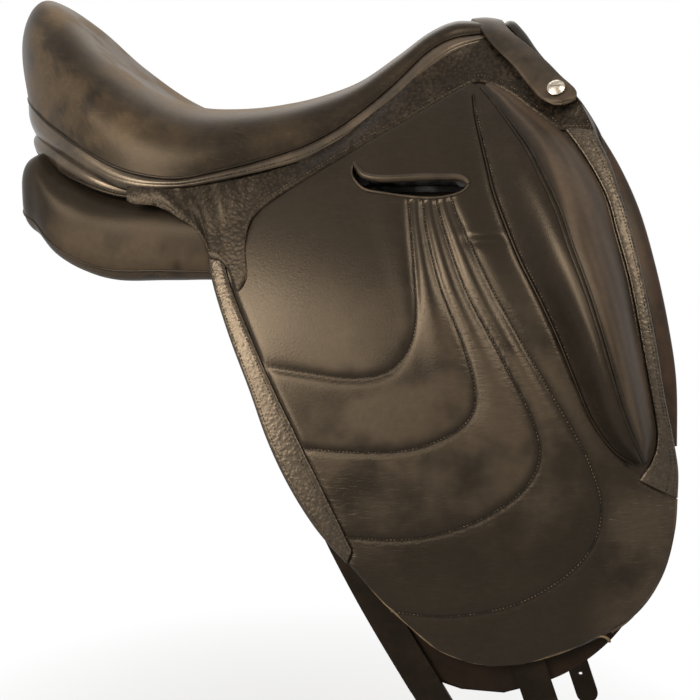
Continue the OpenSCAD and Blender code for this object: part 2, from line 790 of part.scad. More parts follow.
// Sweat flap between the girth straps and the horse
sweat_rear = [
    [-16, -30], [-2, -84], [16, -130], [35, -174], [56, -214], [80, -252], [104, -290], [130, -328],
    [158, -360], [190, -373]
];
sweat_front = [
    [266, 55], [310, 14], [328, -45], [340, -105], [350, -165], [352, -220], [344, -272], [318, -322],
    [276, -357], [226, -375]
];
module sweat_flap_right() {
    color(strap_leather) flat_sheet(sweat_rear, sweat_front, 20, 12, sweat_in, sweat_out);
}
module sweat_flap_left() {
    near_side() sweat_flap_right();
}

// Girth straps: the middle line of each one, from the tree down to where it leaves the sweat flap
front_line = [[150, 24], [152, -20], [166, -90], [188, -170], [212, -250], [236, -322], [257, -383]];
rear_line = [[-6, 36], [0, -20], [16, -90], [42, -160], [74, -226], [112, -294], [160, -372]];
strap_end_gap = 0.4;
bend_r = billet_t / 2;
function line_way(line) = unit(line[len(line) - 1] - line[len(line) - 2]);
function lean_of(line) = atan2(line_way(line)[0], -line_way(line)[1]);
function edge_of(line, offset) = [for (i = [0 : len(line) - 1])
    let (way = unit(line[min(i + 1, len(line) - 1)] - line[max(i - 1, 0)]))
    line[i] + offset * [-way[1], way[0]]];
// The fixed strap stops just above the round top of its free end
function fixed_line(line) = concat(
    [for (i = [0 : len(line) - 2]) line[i]],
    [line[len(line) - 1] - (bend_r + strap_end_gap) * line_way(line)]
);
module girth_strap(line) {
    fixed = fixed_line(line);
    color(strap_leather)
        flat_sheet(edge_of(fixed, -billet_w / 2), edge_of(fixed, billet_w / 2), 18, 2, strap_in, strap_out);
}
module girth_strap_front_right() {
    girth_strap(front_line);
}
module girth_strap_front_left() {
    near_side() girth_strap_front_right();
}
module girth_strap_rear_right() {
    girth_strap(rear_line);
}
module girth_strap_rear_left() {
    near_side() girth_strap_rear_right();
}
// Free end of a girth strap: a flat strap with a round top, a rounded tip and a row of buckle holes
module billet(line) {
    end = line[len(line) - 1];
    middle = -(side_y(end[0], end[1]) + strap_out - billet_t / 2);
    color(strap_leather)
        translate([end[0], middle, end[1]])
            rotate([0, -lean_of(line), 0]) {
                rotate([90, 0, 0])
                    translate([0, 0, -billet_t / 2])
                        linear_extrude(height = billet_t)
                            difference() {
                                union() {
                                    translate([-billet_w / 2, -billet_len + billet_w / 2])
                                        square([billet_w, billet_len - billet_w / 2]);
                                    translate([0, -billet_len + billet_w / 2]) circle(d = billet_w);
                                }
                                for (i = [0 : billet_holes - 1])
                                    translate([0, -billet_len + billet_tip + i * billet_pitch])
                                        circle(d = billet_hole_d);
                            }
                translate([-billet_w / 2, 0, 0]) rotate([0, 90, 0]) cylinder(h = billet_w, r = bend_r);
            }
}
module billet_front_right() {
    billet(front_line);
}
module billet_front_left() {
    near_side() billet_front_right();
}
module billet_rear_right() {
    billet(rear_line);
}
module billet_rear_left() {
    near_side() billet_rear_right();
}

// Flap below the bend line
flap_rear = [
    bend_at(0, 1), [-19, -86], [3, -130], [22, -172], [43, -209], [68, -243], [95, -270], [122, -300],
    [146, -322], [170, -340], [194, -350], [214, -353]
];
flap_front = [
    bend_at(1, 1), [318, 30], [331, -22], [343, -75], [350, -120], [360, -170], [363, -205], [361, -240],
    [350, -283], [326, -318], [285, -339], [240, -352]
];
module flap_right() {
    color(smooth_leather) flat_sheet(flap_rear, flap_front, 24, 14, 0, flap_t);
}
module flap_left() {
    near_side() flap_right();
}
// Quilted pads of the flap, between the rear band and four nested stitched channels
pad_start = [[-2, -56], [7, -82], [16, -98], [22, -106], [26, -110]];
channels = [
    [
        [136, 9], [141, -25], [145, -63], [142, -88], [130, -107], [112, -116], [85, -118], [54, -115],
        [28, -112]
    ],
    [
        [148, 14], [164, -40], [184, -85], [196, -123], [193, -147], [172, -164], [140, -175], [98, -178],
        [62, -178]
    ],
    [
        [160, 19], [186, -44], [216, -97], [243, -147], [250, -180], [234, -208], [195, -233], [145, -247],
        [100, -249]
    ],
    [
        [172, 24], [214, -54], [254, -120], [290, -182], [301, -225], [285, -263], [240, -295], [185, -309],
        [138, -308]
    ]
];
channel_half = 0.03;
pad_edge = 0.8;
function pad_rise(u) = pad_edge + (quilt_h - pad_edge) * pow(max(0, 1 - pow(2 * u - 1, 4)), 0.5);
module pad(left, right_edge) {
    a = curve(left, 16);
    b = curve(right_edge, 16);
    l = [for (i = [0 : 16]) mix(a[i], b[i], channel_half)];
    r = [for (i = [0 : 16]) mix(a[i], b[i], 1 - channel_half)];
    sheet(l, r, 16, 5, on_flap, function (u, v) on_flap + pad_rise(u));
}
module flap_quilting_right() {
    color(smooth_leather) {
        pad(pad_start, channels[0]);
        for (i = [0 : len(channels) - 2])
            pad(channels[i], channels[i + 1]);
    }
}
module flap_quilting_left() {
    near_side() flap_quilting_right();
}
// Pebbled bands along the flap's rear and front edges
band_clear = 2;
rear_band_in = [[-12, -60], [7, -98], [24, -128], [46, -165], [66, -200], [84, -234], [97, -260]];
module rear_band_right() {
    color(pebbled_leather)
        flat_sheet([for (i = [0 : 6]) flap_rear[i] + [0.5, 0]], rear_band_in, 12, 2,
            on_flap, on_flap + band_t);
}
module rear_band_left() {
    near_side() rear_band_right();
}
block_front = [
    [285, 66], [300, 37], [309, 5], [319, -31], [326, -65], [332, -97], [338, -128], [343, -158], [340, -178]
];
front_band_out = [
    bend_at(1, 2), [313, 41], [324, 8], [333, -31], [340, -65], [346, -97], [351, -128], [358, -160],
    [362, -188], [362, -211]
];
hook_tip = [331, -196];
module front_band_right() {
    inner = concat([for (p = block_front) p + [band_clear, 0]], [hook_tip]);
    color(pebbled_leather)
        flat_sheet(inner, [for (p = front_band_out) p - [0.5, 0]], 18, 2, on_flap, on_flap + band_t);
}
module front_band_left() {
    near_side() front_band_right();
}
// Thigh block: a padded block with a ridge along it, cut back at the bend line so that it can lift
block_rear = [
    [206, 33], [216, 14], [230, -18], [246, -48], [262, -80], [277, -115], [292, -148], [310, -172],
    [328, -184]
];
block_relief = 0.75;
relief_end = 0.35;
ridge_at = 0.52;
rear_hollow = 1.3;
front_round = 0.8;
swell_at = 0.45;
swell_start = 0.72;
swell_end = 0.16;
function ridge(u) =
    u < ridge_at ? pow(sin(90 * u / ridge_at), rear_hollow)
    : pow(sin(90 * (1 - u) / (1 - ridge_at)), front_round);
function block_swell(v) =
    v < swell_at ? mix(swell_start, 1, sin(90 * v / swell_at))
    : mix(swell_end, 1, pow(cos(90 * (v - swell_at) / (1 - swell_at)), front_round));
function block_rise(u, v) = block_edge + (block_h - block_edge) * ridge(u) * block_swell(v);
function cut_back(grid, v_end) =
    [for (r = [0 : len(grid) - 1]) let (v = r / (len(grid) - 1))
        [for (c = [0 : len(grid[r]) - 1]) let (u = c / (len(grid[r]) - 1))
            grid[r][c] - [0, 0, block_relief * (block_rise(u, 0) - block_edge) * max(0, 1 - v / v_end)]]];
module thigh_block_right() {
    color(smooth_leather)
        slab(
            side_grid(block_rear, block_front, 16, 6, function (u, v) on_flap),
            cut_back(side_grid(block_rear, block_front, 16, 6,
                function (u, v) on_flap + block_rise(u, v)), relief_end)
        );
}
module thigh_block_left() {
    near_side() thigh_block_right();
}
// Top of the thigh block: stays on the upper flap and runs up to the skirt's peak
block_top_rear = [[185, 128], [188, 108], [194, 84], [200, 62], [206, 47]];
block_top_front = [[197, 134], [225, 119], [246, 104], [266, 88], [282, 77]];
top_swell = [0.12, 0.70];
function top_rise(u, v) =
    block_edge + (block_h - block_edge) * ridge(u) * mix(top_swell[0], top_swell[1], v);
module block_top_right() {
    color(smooth_leather)
        sheet(block_top_rear, block_top_front, 6, 6, on_flap, function (u, v) on_flap + top_rise(u, v));
}
module block_top_left() {
    near_side() block_top_right();
}

tree_head();
tree_cantle();
tree_rail_right();
tree_rail_left();
tree_side_right();
tree_side_left();
head_plate();
head_plate_rivets();
tree_spring_right();
tree_spring_left();
seat_web();
seat_foam();
seat_cover();
seat_welt();
seat_border();
skirt_right();
skirt_left();
pommel_strap();
pommel_screw_right();
pommel_screw_left();
upper_flap_right();
upper_flap_left();
stirrup_bar_right();
stirrup_bar_left();
stirrup_bar_rivets_right();
stirrup_bar_rivets_left();
stirrup_catch_right();
stirrup_catch_left();
catch_pin_right();
catch_pin_left();
panel_right();
panel_left();
panel_roll_right();
panel_roll_left();
panel_wing_right();
panel_wing_left();
sweat_flap_right();
sweat_flap_left();
girth_strap_front_right();
girth_strap_front_left();
girth_strap_rear_right();
girth_strap_rear_left();
billet_front_right();
billet_front_left();
billet_rear_right();
billet_rear_left();
flap_right();
flap_left();
flap_quilting_right();
flap_quilting_left();
rear_band_right();
rear_band_left();
front_band_right();
front_band_left();
thigh_block_right();
thigh_block_left();
block_top_right();
block_top_left();
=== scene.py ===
import math
import bpy
import bmesh
from mathutils import Vector, Matrix, noise, kdtree


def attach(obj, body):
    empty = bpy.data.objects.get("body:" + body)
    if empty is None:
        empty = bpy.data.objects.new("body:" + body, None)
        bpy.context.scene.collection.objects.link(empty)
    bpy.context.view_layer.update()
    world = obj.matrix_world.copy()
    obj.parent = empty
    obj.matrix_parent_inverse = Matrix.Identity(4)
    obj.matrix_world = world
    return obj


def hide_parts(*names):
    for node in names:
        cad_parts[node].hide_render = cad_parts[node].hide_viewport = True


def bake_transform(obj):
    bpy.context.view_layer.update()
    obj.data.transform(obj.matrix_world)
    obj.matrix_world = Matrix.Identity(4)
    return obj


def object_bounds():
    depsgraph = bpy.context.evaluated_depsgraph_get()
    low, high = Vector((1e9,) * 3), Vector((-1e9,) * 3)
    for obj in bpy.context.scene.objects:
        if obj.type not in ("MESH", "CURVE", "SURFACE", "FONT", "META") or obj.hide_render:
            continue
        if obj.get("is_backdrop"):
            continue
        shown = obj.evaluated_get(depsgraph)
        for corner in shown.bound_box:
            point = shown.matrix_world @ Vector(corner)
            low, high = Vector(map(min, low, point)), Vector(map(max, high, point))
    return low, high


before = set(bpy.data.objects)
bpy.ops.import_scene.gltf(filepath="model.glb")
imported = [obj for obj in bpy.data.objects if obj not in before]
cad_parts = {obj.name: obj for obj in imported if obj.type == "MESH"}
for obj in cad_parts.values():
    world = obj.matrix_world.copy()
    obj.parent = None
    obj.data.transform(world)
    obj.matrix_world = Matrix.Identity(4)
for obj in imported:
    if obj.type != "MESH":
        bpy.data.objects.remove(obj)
cad_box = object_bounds()

# The tree: a loop of laminated beech, glued up in a mould, with a head, two rails, a cantle and
# the side bars that carry the stirrup bars. It is lacquered, and everything else is fixed to it.
def add(graph, kind, inputs=(), **settings):
    """Adds a shader node, with its inputs set to values or linked to sockets."""
    made = graph.nodes.new("ShaderNode" + kind)
    for key, value in settings.items():
        setattr(made, key, value)
    for key, value in dict(inputs).items():
        if isinstance(value, bpy.types.NodeSocket):
            graph.links.new(value, made.inputs[key])
        else:
            made.inputs[key].default_value = value
    return made


def new_finish(name, constants):
    """Starts a material, with what is the same all over set on its shader."""
    finish = bpy.data.materials.new(name)
    finish.use_nodes = True
    shader = finish.node_tree.nodes["Principled BSDF"]
    for key, value in constants.items():
        shader.inputs[key].default_value = value
    return finish, finish.node_tree, shader.inputs


def ramp(graph, factor, stops, target):
    """Colours a socket by two stops, each a factor and the colour that it gives."""
    made = add(graph, "ValToRGB", {"Fac": factor})
    for step, (at, colour) in zip(made.color_ramp.elements, stops):
        step.position = at
        step.color = (*colour, 1.0)
    graph.links.new(made.outputs["Color"], target)


def bump(graph, height, distance, under=None):
    made = add(graph, "Bump", {"Height": height, "Distance": distance})
    if under:
        graph.links.new(under, made.inputs["Normal"])
    return made.outputs["Normal"]


def dress(finish, *names):
    """Gives a finish to pieces that keep their own solids."""
    for name in names:
        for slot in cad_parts[name].material_slots:
            slot.material = finish


SIDES = ("right", "left")
beech_pale = (0.42, 0.27, 0.14)
beech_dark = (0.24, 0.14, 0.065)
ply_scale = 62.0
beech, graph, socket = new_finish("laminated_beech", {"Coat Weight": 0.35, "Coat Roughness": 0.25})
place = add(graph, "TexCoord").outputs["Object"]
fibre = add(graph, "Mapping", {"Vector": place, "Scale": (40.0, 260.0, 260.0)})
figure = add(graph, "TexNoise", {"Vector": fibre.outputs["Vector"], "Scale": 3.0, "Detail": 6.0})
plies = add(graph, "TexWave", {"Vector": place, "Scale": ply_scale, "Distortion": 1.5}, bands_direction="Z")
grain = add(graph, "Math", {0: figure.outputs["Fac"], 1: plies.outputs["Fac"]}, operation="MULTIPLY")
ramp(graph, grain.outputs["Value"], [(0.1, beech_dark), (0.6, beech_pale)], socket["Base Color"])
ramp(graph, figure.outputs["Fac"], [(0.3, (0.32,) * 3), (0.7, (0.5,) * 3)], socket["Roughness"])
graph.links.new(bump(graph, grain.outputs["Value"], 0.0003), socket["Normal"])
dress(beech, "tree_head", "tree_cantle")
for side in SIDES:
    dress(beech, "tree_rail_" + side, "tree_side_" + side)

# Steelwork of the tree: the head plate, the two springs, their rivets, and the stirrup bars with
# their turning catches. The bars are forged and blackened, worn bright where the leathers rub.
forged_black = (0.018, 0.0175, 0.017)
worn_bright = (0.12, 0.115, 0.11)
steel, graph, socket = new_finish("forged_steel", {"Metallic": 1.0})
place = add(graph, "TexCoord").outputs["Object"]
drawn = add(graph, "Mapping", {"Vector": place, "Scale": (60.0, 900.0, 900.0)})
brushing = add(graph, "TexNoise", {"Vector": drawn.outputs["Vector"], "Scale": 1.0, "Detail": 3.0})
patches = add(graph, "TexNoise", {"Vector": place, "Scale": 55.0, "Detail": 5.0})
rubbed = add(graph, "MapRange", {"Value": patches.outputs["Fac"], "From Min": 0.5, "From Max": 0.72})
ramp(graph, rubbed.outputs["Result"], [(0.0, forged_black), (1.0, worn_bright)], socket["Base Color"])
ramp(graph, brushing.outputs["Fac"], [(0.3, (0.38,) * 3), (0.7, (0.6,) * 3)], socket["Roughness"])
graph.links.new(bump(graph, brushing.outputs["Fac"], 0.0001), socket["Normal"])
dress(steel, "head_plate", "head_plate_rivets")
for side in SIDES:
    dress(steel, "tree_spring_" + side, "stirrup_bar_" + side, "stirrup_bar_rivets_" + side)
    dress(steel, "stirrup_catch_" + side, "catch_pin_" + side)

# Seat web: linen webbing strained from the head to the cantle and nailed to the tree. It carries
# the foam, and it lies under the seat where nobody sees it.
MM = 0.001


def mix(a, b, t):
    return a + (b - a) * t


def on_curve(points, t):
    """Point at share t of a smooth curve through all the points."""
    last = len(points) - 1
    s = min(max(t, 0.0), 1.0) * last
    i = min(int(s), last - 1)
    f = s - i
    p0, p1, p2, p3 = (Vector(points[min(max(k, 0), last)]) for k in range(i - 1, i + 3))
    bow = (p2 - p0) * f + (2 * p0 - 5 * p1 + 4 * p2 - p3) * f * f + (3 * p1 - p0 - 3 * p2 + p3) * f ** 3
    return p1 + 0.5 * bow


welt_line = [
    (193, 37, 190), (164, 53, 184), (139, 61, 170), (109, 73, 140), (72, 88, 108), (39, 101, 87),
    (1, 116, 72), (-46, 132, 59), (-85, 138, 53), (-135, 134, 62), (-182, 120, 84), (-222, 98, 106),
    (-250, 75, 125), (-268, 48, 137), (-278, 22, 143), (-281, 2, 145)]
crown_line = [
    (192, 0, 203), (165, 0, 204), (140, 0, 194), (112, 0, 174), (78, 0, 151), (44, 0, 138),
    (5, 0, 129), (-40, 0, 126), (-85, 0, 131), (-135, 0, 153), (-185, 0, 189), (-226, 0, 226),
    (-258, 0, 240), (-281, 0, 217), (-290, 0, 178), (-284, 0, 150)]
seat_last = len(welt_line) - 1
seat_round = 0.8
seat_dish = 12
dish_rows = (6, 12)
dish_half = 0.62
row_step = 0.05
rim_least = 0.4
corner_angle = 0.9


def way_along(points, u):
    ahead = on_curve(points, min(u + row_step, seat_last) / seat_last)
    return (ahead - on_curve(points, max(u - row_step, 0) / seat_last)).normalized()


def rim_in(u):
    """Level direction from the rim towards the middle of the seat."""
    way = way_along(welt_line, u)
    return Vector((-way.y, way.x, 0)).normalized()


def seat_row(u, inset):
    """Rim, crown and dish of the seat at row u, for a layer that lies inset below the leather."""
    way = way_along(crown_line, u)
    rim = on_curve(welt_line, u / seat_last) + inset * rim_in(u)
    rim.y = max(rim.y, rim_least)
    top = on_curve(crown_line, u / seat_last) + inset * Vector((-way.z, 0, way.x))
    along = (u - dish_rows[0]) / (dish_rows[1] - dish_rows[0])
    dish = seat_dish * math.sin(math.pi * along) if 0 < along < 1 else 0.0
    return rim, top, dish


def seat_point(row, angle):
    rim, top, dish = row
    s = abs(math.sin(angle)) ** seat_round
    k = abs(math.cos(angle)) ** seat_round
    sunk = dish * max(0.0, 1 - (s / dish_half) ** 2) ** 2
    return Vector((mix(rim.x, top.x, k), math.copysign(rim.y * s, angle), mix(rim.z, top.z, k) - sunk))


def sheet(name, cols, rows, place_row, place_point, thickness, rim=0.0):
    """A layer of even thickness, laid row by row, with its cut edge rounded by rim."""
    bm = bmesh.new()
    bmesh.ops.create_grid(bm, x_segments=cols, y_segments=rows, size=0.5)
    made_rows = {}
    for vert in bm.verts:
        v = round(vert.co.y + 0.5, 6)
        if v not in made_rows:
            made_rows[v] = place_row(v)
        vert.co = place_point(made_rows[v], vert.co.x + 0.5, v) * MM
    thicken(bm, thickness, rim)
    return finished(name, bm)


def thicken(bm, thickness, rim):
    bmesh.ops.solidify(bm, geom=bm.faces[:], thickness=thickness * MM)
    bmesh.ops.recalc_face_normals(bm, faces=bm.faces[:])
    if rim:
        corners = [e for e in bm.edges if len(e.link_faces) == 2 and e.calc_face_angle() > corner_angle]
        bmesh.ops.bevel(bm, geom=corners, offset=rim * MM, offset_type="OFFSET", segments=2, profile=0.5,
                        affect="EDGES", material=-1, clamp_overlap=True)


def finished(name, bm):
    for face in bm.faces:
        face.smooth = True
    mesh = bpy.data.meshes.new(name)
    bm.to_mesh(mesh)
    bm.free()
    piece = bpy.data.objects.new(name, mesh)
    bpy.context.collection.objects.link(piece)
    return piece


linen = (0.36, 0.30, 0.20)
linen_shadow = (0.16, 0.125, 0.08)
webbing, graph, socket = new_finish("linen_webbing", {"Roughness": 0.9})
place = add(graph, "TexCoord").outputs["Object"]
warp = add(graph, "TexWave", {"Vector": place, "Scale": 180.0}, bands_direction="X")
weft = add(graph, "TexWave", {"Vector": place, "Scale": 180.0}, bands_direction="Y")
cloth = add(graph, "Math", {0: warp.outputs["Fac"], 1: weft.outputs["Fac"]}, operation="MULTIPLY")
ramp(graph, cloth.outputs["Value"], [(0.05, linen_shadow), (0.6, linen)], socket["Base Color"])
graph.links.new(bump(graph, cloth.outputs["Value"], 0.0004), socket["Normal"])
web_inset = 21.7
web_rows = (2.5, 10.4)
web_angle = math.radians(22.5)
web = sheet(
    "seat_webbing", 16, 48, lambda v: seat_row(mix(*web_rows, v), web_inset),
    lambda row, s, v: seat_point(row, mix(-web_angle, web_angle, s)), 1.3)
web.data.materials.append(webbing)
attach(web, "saddle")
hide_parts("seat_web")

# Seat foam: a moulded pad of black latex glued on the web and the tree, thin at the sides and
# closed at the rim. The leather is strained over it.
latex_pale = (0.050, 0.047, 0.043)
latex_dark = (0.024, 0.022, 0.020)
latex, graph, socket = new_finish("latex_foam", {"Roughness": 0.85})
place = add(graph, "TexCoord").outputs["Object"]
cells = add(graph, "TexVoronoi", {"Vector": place, "Scale": 420.0})
cloud = add(graph, "TexNoise", {"Vector": place, "Scale": 24.0, "Detail": 4.0})
ramp(graph, cloud.outputs["Fac"], [(0.3, latex_dark), (0.7, latex_pale)], socket["Base Color"])
graph.links.new(bump(graph, cells.outputs["Distance"], 0.0004), socket["Normal"])
foam_inset = 3.6
foam_thick = 16.0
foam_rows = (0.3, 13.3)
half_turn = math.pi / 2
foam = sheet(
    "seat_foam_pad", 36, 96, lambda v: seat_row(mix(*foam_rows, v), foam_inset),
    lambda row, s, v: seat_point(row, mix(-half_turn, half_turn, s)), foam_thick)
foam.data.materials.append(latex)
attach(foam, "saddle")
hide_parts("seat_foam")

# Seat cover: one piece of smooth calf, strained wet over the foam and sewn to the welt. Its top is
# painted tan, both for the rider's wear and as a painted highlight where the light from above falls,
# and it is smudged towards the sides of the cantle.
def effect(name, ins, outs):
    """Starts a node group that several finishes share."""
    group = bpy.data.node_groups.new(name, "ShaderNodeTree")
    for label, kind, value in ins:
        made = group.interface.new_socket(label, in_out="INPUT", socket_type="NodeSocket" + kind)
        made.default_value = value
    for label, kind in outs:
        group.interface.new_socket(label, in_out="OUTPUT", socket_type="NodeSocket" + kind)
    return group, add(group, "TexCoord").outputs["Object"]


def ends(group):
    return group.nodes.new("NodeGroupInput").outputs, group.nodes.new("NodeGroupOutput").inputs


# Tone of dyed leather: cloudy dye, rubbed brown patches and small scuffs. A piece's mask adds the lighter
# colour, which on the seat and the panels is partly painted light
dye_cloud, place = effect(
    "dye_cloud",
    [("Dye", "Color", (0.02, 0.016, 0.012, 1)), ("Rubbed", "Color", (0.08, 0.06, 0.045, 1)),
     ("Patch", "Float", 12.0), ("Rub", "Float", 0.5), ("Mask", "Float", 0.0)],
    [("Color", "Color"), ("Rub", "Float")])
given, put = ends(dye_cloud)
cloud = add(dye_cloud, "TexNoise", {
    "Vector": place, "Scale": given["Patch"], "Detail": 5.0, "Roughness": 0.62})
worn = add(dye_cloud, "MapRange", {"Value": cloud.outputs["Fac"], "From Min": 0.42, "From Max": 0.72})
patchy = add(dye_cloud, "Math", {0: worn.outputs["Result"], 1: given["Rub"]}, operation="MULTIPLY")
total = add(
    dye_cloud, "Math", {0: patchy.outputs["Value"], 1: given["Mask"]}, operation="ADD", use_clamp=True)
tone = add(dye_cloud, "MixRGB", {
    "Fac": total.outputs["Value"], "Color1": given["Dye"], "Color2": given["Rubbed"]})
scored = add(dye_cloud, "Mapping", {
    "Vector": place, "Rotation": (0.3, 0.9, 0.2), "Scale": (45.0, 700.0, 420.0)})
scratch = add(dye_cloud, "TexNoise", {"Vector": scored.outputs["Vector"], "Scale": 1.0, "Detail": 3.0})
scuff = add(dye_cloud, "MapRange", {
    "Value": scratch.outputs["Fac"], "From Min": 0.55, "From Max": 0.85, "To Max": 0.15})
scuffed = add(dye_cloud, "MixRGB", {
    "Fac": scuff.outputs["Result"], "Color1": tone.outputs["Color"], "Color2": given["Rubbed"]})
speck = add(dye_cloud, "TexNoise", {"Vector": place, "Scale": 170.0, "Detail": 4.0})
shade = add(dye_cloud, "MapRange", {"Value": speck.outputs["Fac"], "To Min": 0.72, "To Max": 1.28})
level = add(dye_cloud, "MixRGB", {
    "Fac": 1.0, "Color1": scuffed.outputs["Color"], "Color2": shade.outputs["Result"]}, blend_type="MULTIPLY")
dye_cloud.links.new(level.outputs["Color"], put["Color"])
dye_cloud.links.new(total.outputs["Value"], put["Rub"])

# Grain of smooth calf: fine pores with faint hairlines
calf_grain, place = effect("calf_grain", [("Pores", "Float", 620.0)], [("Height", "Float")])
given, put = ends(calf_grain)
pores = add(calf_grain, "TexVoronoi", {"Vector": place, "Scale": given["Pores"]}, feature="SMOOTH_F1")
hairs = add(calf_grain, "TexNoise", {"Vector": place, "Scale": 240.0, "Detail": 6.0, "Roughness": 0.7})
sum_up = add(calf_grain, "Math", {0: pores.outputs["Distance"], 1: hairs.outputs["Fac"]}, operation="ADD")
calf_grain.links.new(sum_up.outputs["Value"], put["Height"])

# Riding creases: short wavy folds that lie nearly level, and only where the mask is
crease_lines, place = effect(
    "crease_lines",
    [("Mask", "Float", 1.0), ("Tilt", "Float", 0.12), ("Coarse", "Float", 1.0)],
    [("Height", "Float")])
given, put = ends(crease_lines)
turn = add(crease_lines, "CombineXYZ", {"Y": given["Tilt"]})
laid = add(crease_lines, "Mapping", {
    "Vector": place, "Rotation": turn.outputs["Vector"], "Scale": (95.0, 95.0, 330.0)})
drift = add(crease_lines, "TexNoise", {
    "Vector": laid.outputs["Vector"], "Scale": given["Coarse"], "Detail": 2.5, "Distortion": 0.7})
fold = add(crease_lines, "MapRange", {"Value": drift.outputs["Fac"], "From Min": 0.34, "From Max": 0.66})
folded = add(crease_lines, "Math", {0: fold.outputs["Result"], 1: given["Mask"]}, operation="MULTIPLY")
crease_lines.links.new(folded.outputs["Value"], put["Height"])


def use(graph, group, inputs):
    return add(graph, "Group", inputs, node_tree=group).outputs


SHEEN_TINT = (1.0, 0.80, 0.58, 1.0)
# Painted shade: near black for the shadowed grooves of sewn seams
SEAM_SHADE_BLACK = (0.0025, 0.0019, 0.0015, 1.0)
pore_depth = 0.00005


def calf(name, dye, rubbed, patch, rub, gloss, mask=None, creases=(), pores=620.0, shine=0.2, dull=0.12,
         seam=None):
    """Smooth leather. mask, seam and each crease name what is marked on the piece's points; seam is painted
    shade.
    """
    finish, graph, socket = new_finish(name, {"Specular IOR Level": shine, "Specular Tint": SHEEN_TINT})
    inputs = {"Dye": (*dye, 1.0), "Rubbed": (*rubbed, 1.0), "Patch": patch, "Rub": rub}
    if mask:
        inputs["Mask"] = add(graph, "Attribute", attribute_name=mask).outputs["Fac"]
    tone = use(graph, dye_cloud, inputs)
    normal = bump(graph, use(graph, calf_grain, {"Pores": pores})["Height"], pore_depth)
    for layer, tilt, coarse, depth in creases:
        strength = add(graph, "Attribute", attribute_name=layer).outputs["Fac"]
        lines = use(graph, crease_lines, {"Mask": strength, "Tilt": tilt, "Coarse": coarse})["Height"]
        normal = bump(graph, lines, depth, normal)
    colour = tone["Color"]
    # Painted shade: the leather goes near black in the grooves of its seams
    if seam:
        depth = add(graph, "Attribute", attribute_name=seam).outputs["Fac"]
        colour = add(graph, "MixRGB", {"Fac": depth, "Color1": colour, "Color2": SEAM_SHADE_BLACK}).outputs["Color"]
    graph.links.new(colour, socket["Base Color"])
    sheen = add(graph, "MapRange", {"Value": tone["Rub"], "To Min": gloss, "To Max": gloss + dull})
    graph.links.new(sheen.outputs["Result"], socket["Roughness"])
    graph.links.new(normal, socket["Normal"])
    return finish


def mark(piece, label, value):
    """Keeps a value for each point of a piece, for its leather to read."""
    layer = piece.data.attributes.new(label, "FLOAT", "POINT")
    layer.data.foreach_set("value", [value(v.co / MM) for v in piece.data.vertices])


black_brown = (0.011, 0.0085, 0.0063)
rubbed_brown = (0.062, 0.045, 0.031)
# Tan of the seat's top: wear, and a painted highlight
seat_tan_and_highlight = (0.160, 0.110, 0.062)
seat_calf = calf("seat_calf", black_brown, seat_tan_and_highlight, 14.0, 0.16, 0.36, mask="rubbed", dull=0.3)
cover_thick = 2.6
seat_rows = (0.0, 14.94)
cover = sheet(
    "seat_cover_calf", 72, 150, lambda v: seat_row(mix(*seat_rows, v), 0.0),
    lambda row, s, v: seat_point(row, mix(-half_turn, half_turn, s)), cover_thick, 0.8)


def x_at(line, z):
    """Where a line of points that climbs steadily crosses the level z."""
    for (x0, z0), (x1, z1) in zip(line, line[1:]):
        if z0 <= z <= z1:
            return mix(x0, x1, (z - z0) / (z1 - z0)) if z1 > z0 else x0
    return line[0][0] if z < line[0][1] else line[-1][0]


def smooth(low, high, value):
    """Soft step from 0 at low to 1 at high, where low may be the greater of the two."""
    t = min(max((value - low) / (high - low), 0.0), 1.0)
    return t * t * (3 - 2 * t)


def clouds(p, scale, octaves):
    """Soft patches from 0 to 1."""
    return noise.fractal(p * scale, 0.9, 2.0, octaves) * 0.5 + 0.5


# Rubbing and painted highlight of the seat: each pair is the span over which it comes in or fades
half_width = [(y, x) for x, y, _ in welt_line[::-1]]
cantle_from = (-50, -140)
cantle_back = (-284, -262)
pommel_from = (175, 100)
worn_and_lit_top = (0.85, 0.45)
cantle_side = (0.78, 0.92)
side_share = 0.2
top_share = 0.9
smudge_share = 0.6
seat_cloud, seat_smudge = 0.024, (0.36, 0.62)


def seat_wear_and_highlight(p):
    outward = abs(p.y) / x_at(half_width, p.x)
    smudge = smooth(*seat_smudge, clouds(p, seat_cloud, 5))
    cantle = smooth(*cantle_from, p.x)
    side = side_share * cantle * smooth(*cantle_side, outward) * smudge
    smeared = mix(top_share, smudge, smudge_share * cantle)
    # Painted highlight: the top is painted tan, as wear and as the light from above that falls on it
    top = smooth(*worn_and_lit_top, outward) * smooth(*pommel_from, p.x) * smooth(*cantle_back, p.x) * smeared
    return max(side, top)


mark(cover, "rubbed", seat_wear_and_highlight)
cover.data.materials.append(seat_calf)
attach(cover, "saddle")
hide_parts("seat_cover")

# Seat welt: a piping cord wrapped in thin black leather, sewn in between the seat cover and the
# border all the way round.
weld_gap = 0.02


def closed(name, cols, rows, place_row, place_point):
    """A closed form laid in rings, row by row, with its ends filled."""
    bm = bmesh.new()
    bmesh.ops.create_grid(bm, x_segments=cols, y_segments=rows, size=0.5)
    made_rows = [place_row(i / rows) for i in range(rows + 1)]
    for vert in bm.verts:
        i = round((vert.co.y + 0.5) * rows)
        vert.co = place_point(made_rows[i], vert.co.x + 0.5, i / rows) * MM
    bmesh.ops.remove_doubles(bm, verts=bm.verts[:], dist=weld_gap * MM)
    bmesh.ops.holes_fill(bm, edges=[e for e in bm.edges if e.is_boundary], sides=0)
    bmesh.ops.recalc_face_normals(bm, faces=bm.faces[:])
    return finished(name, bm)


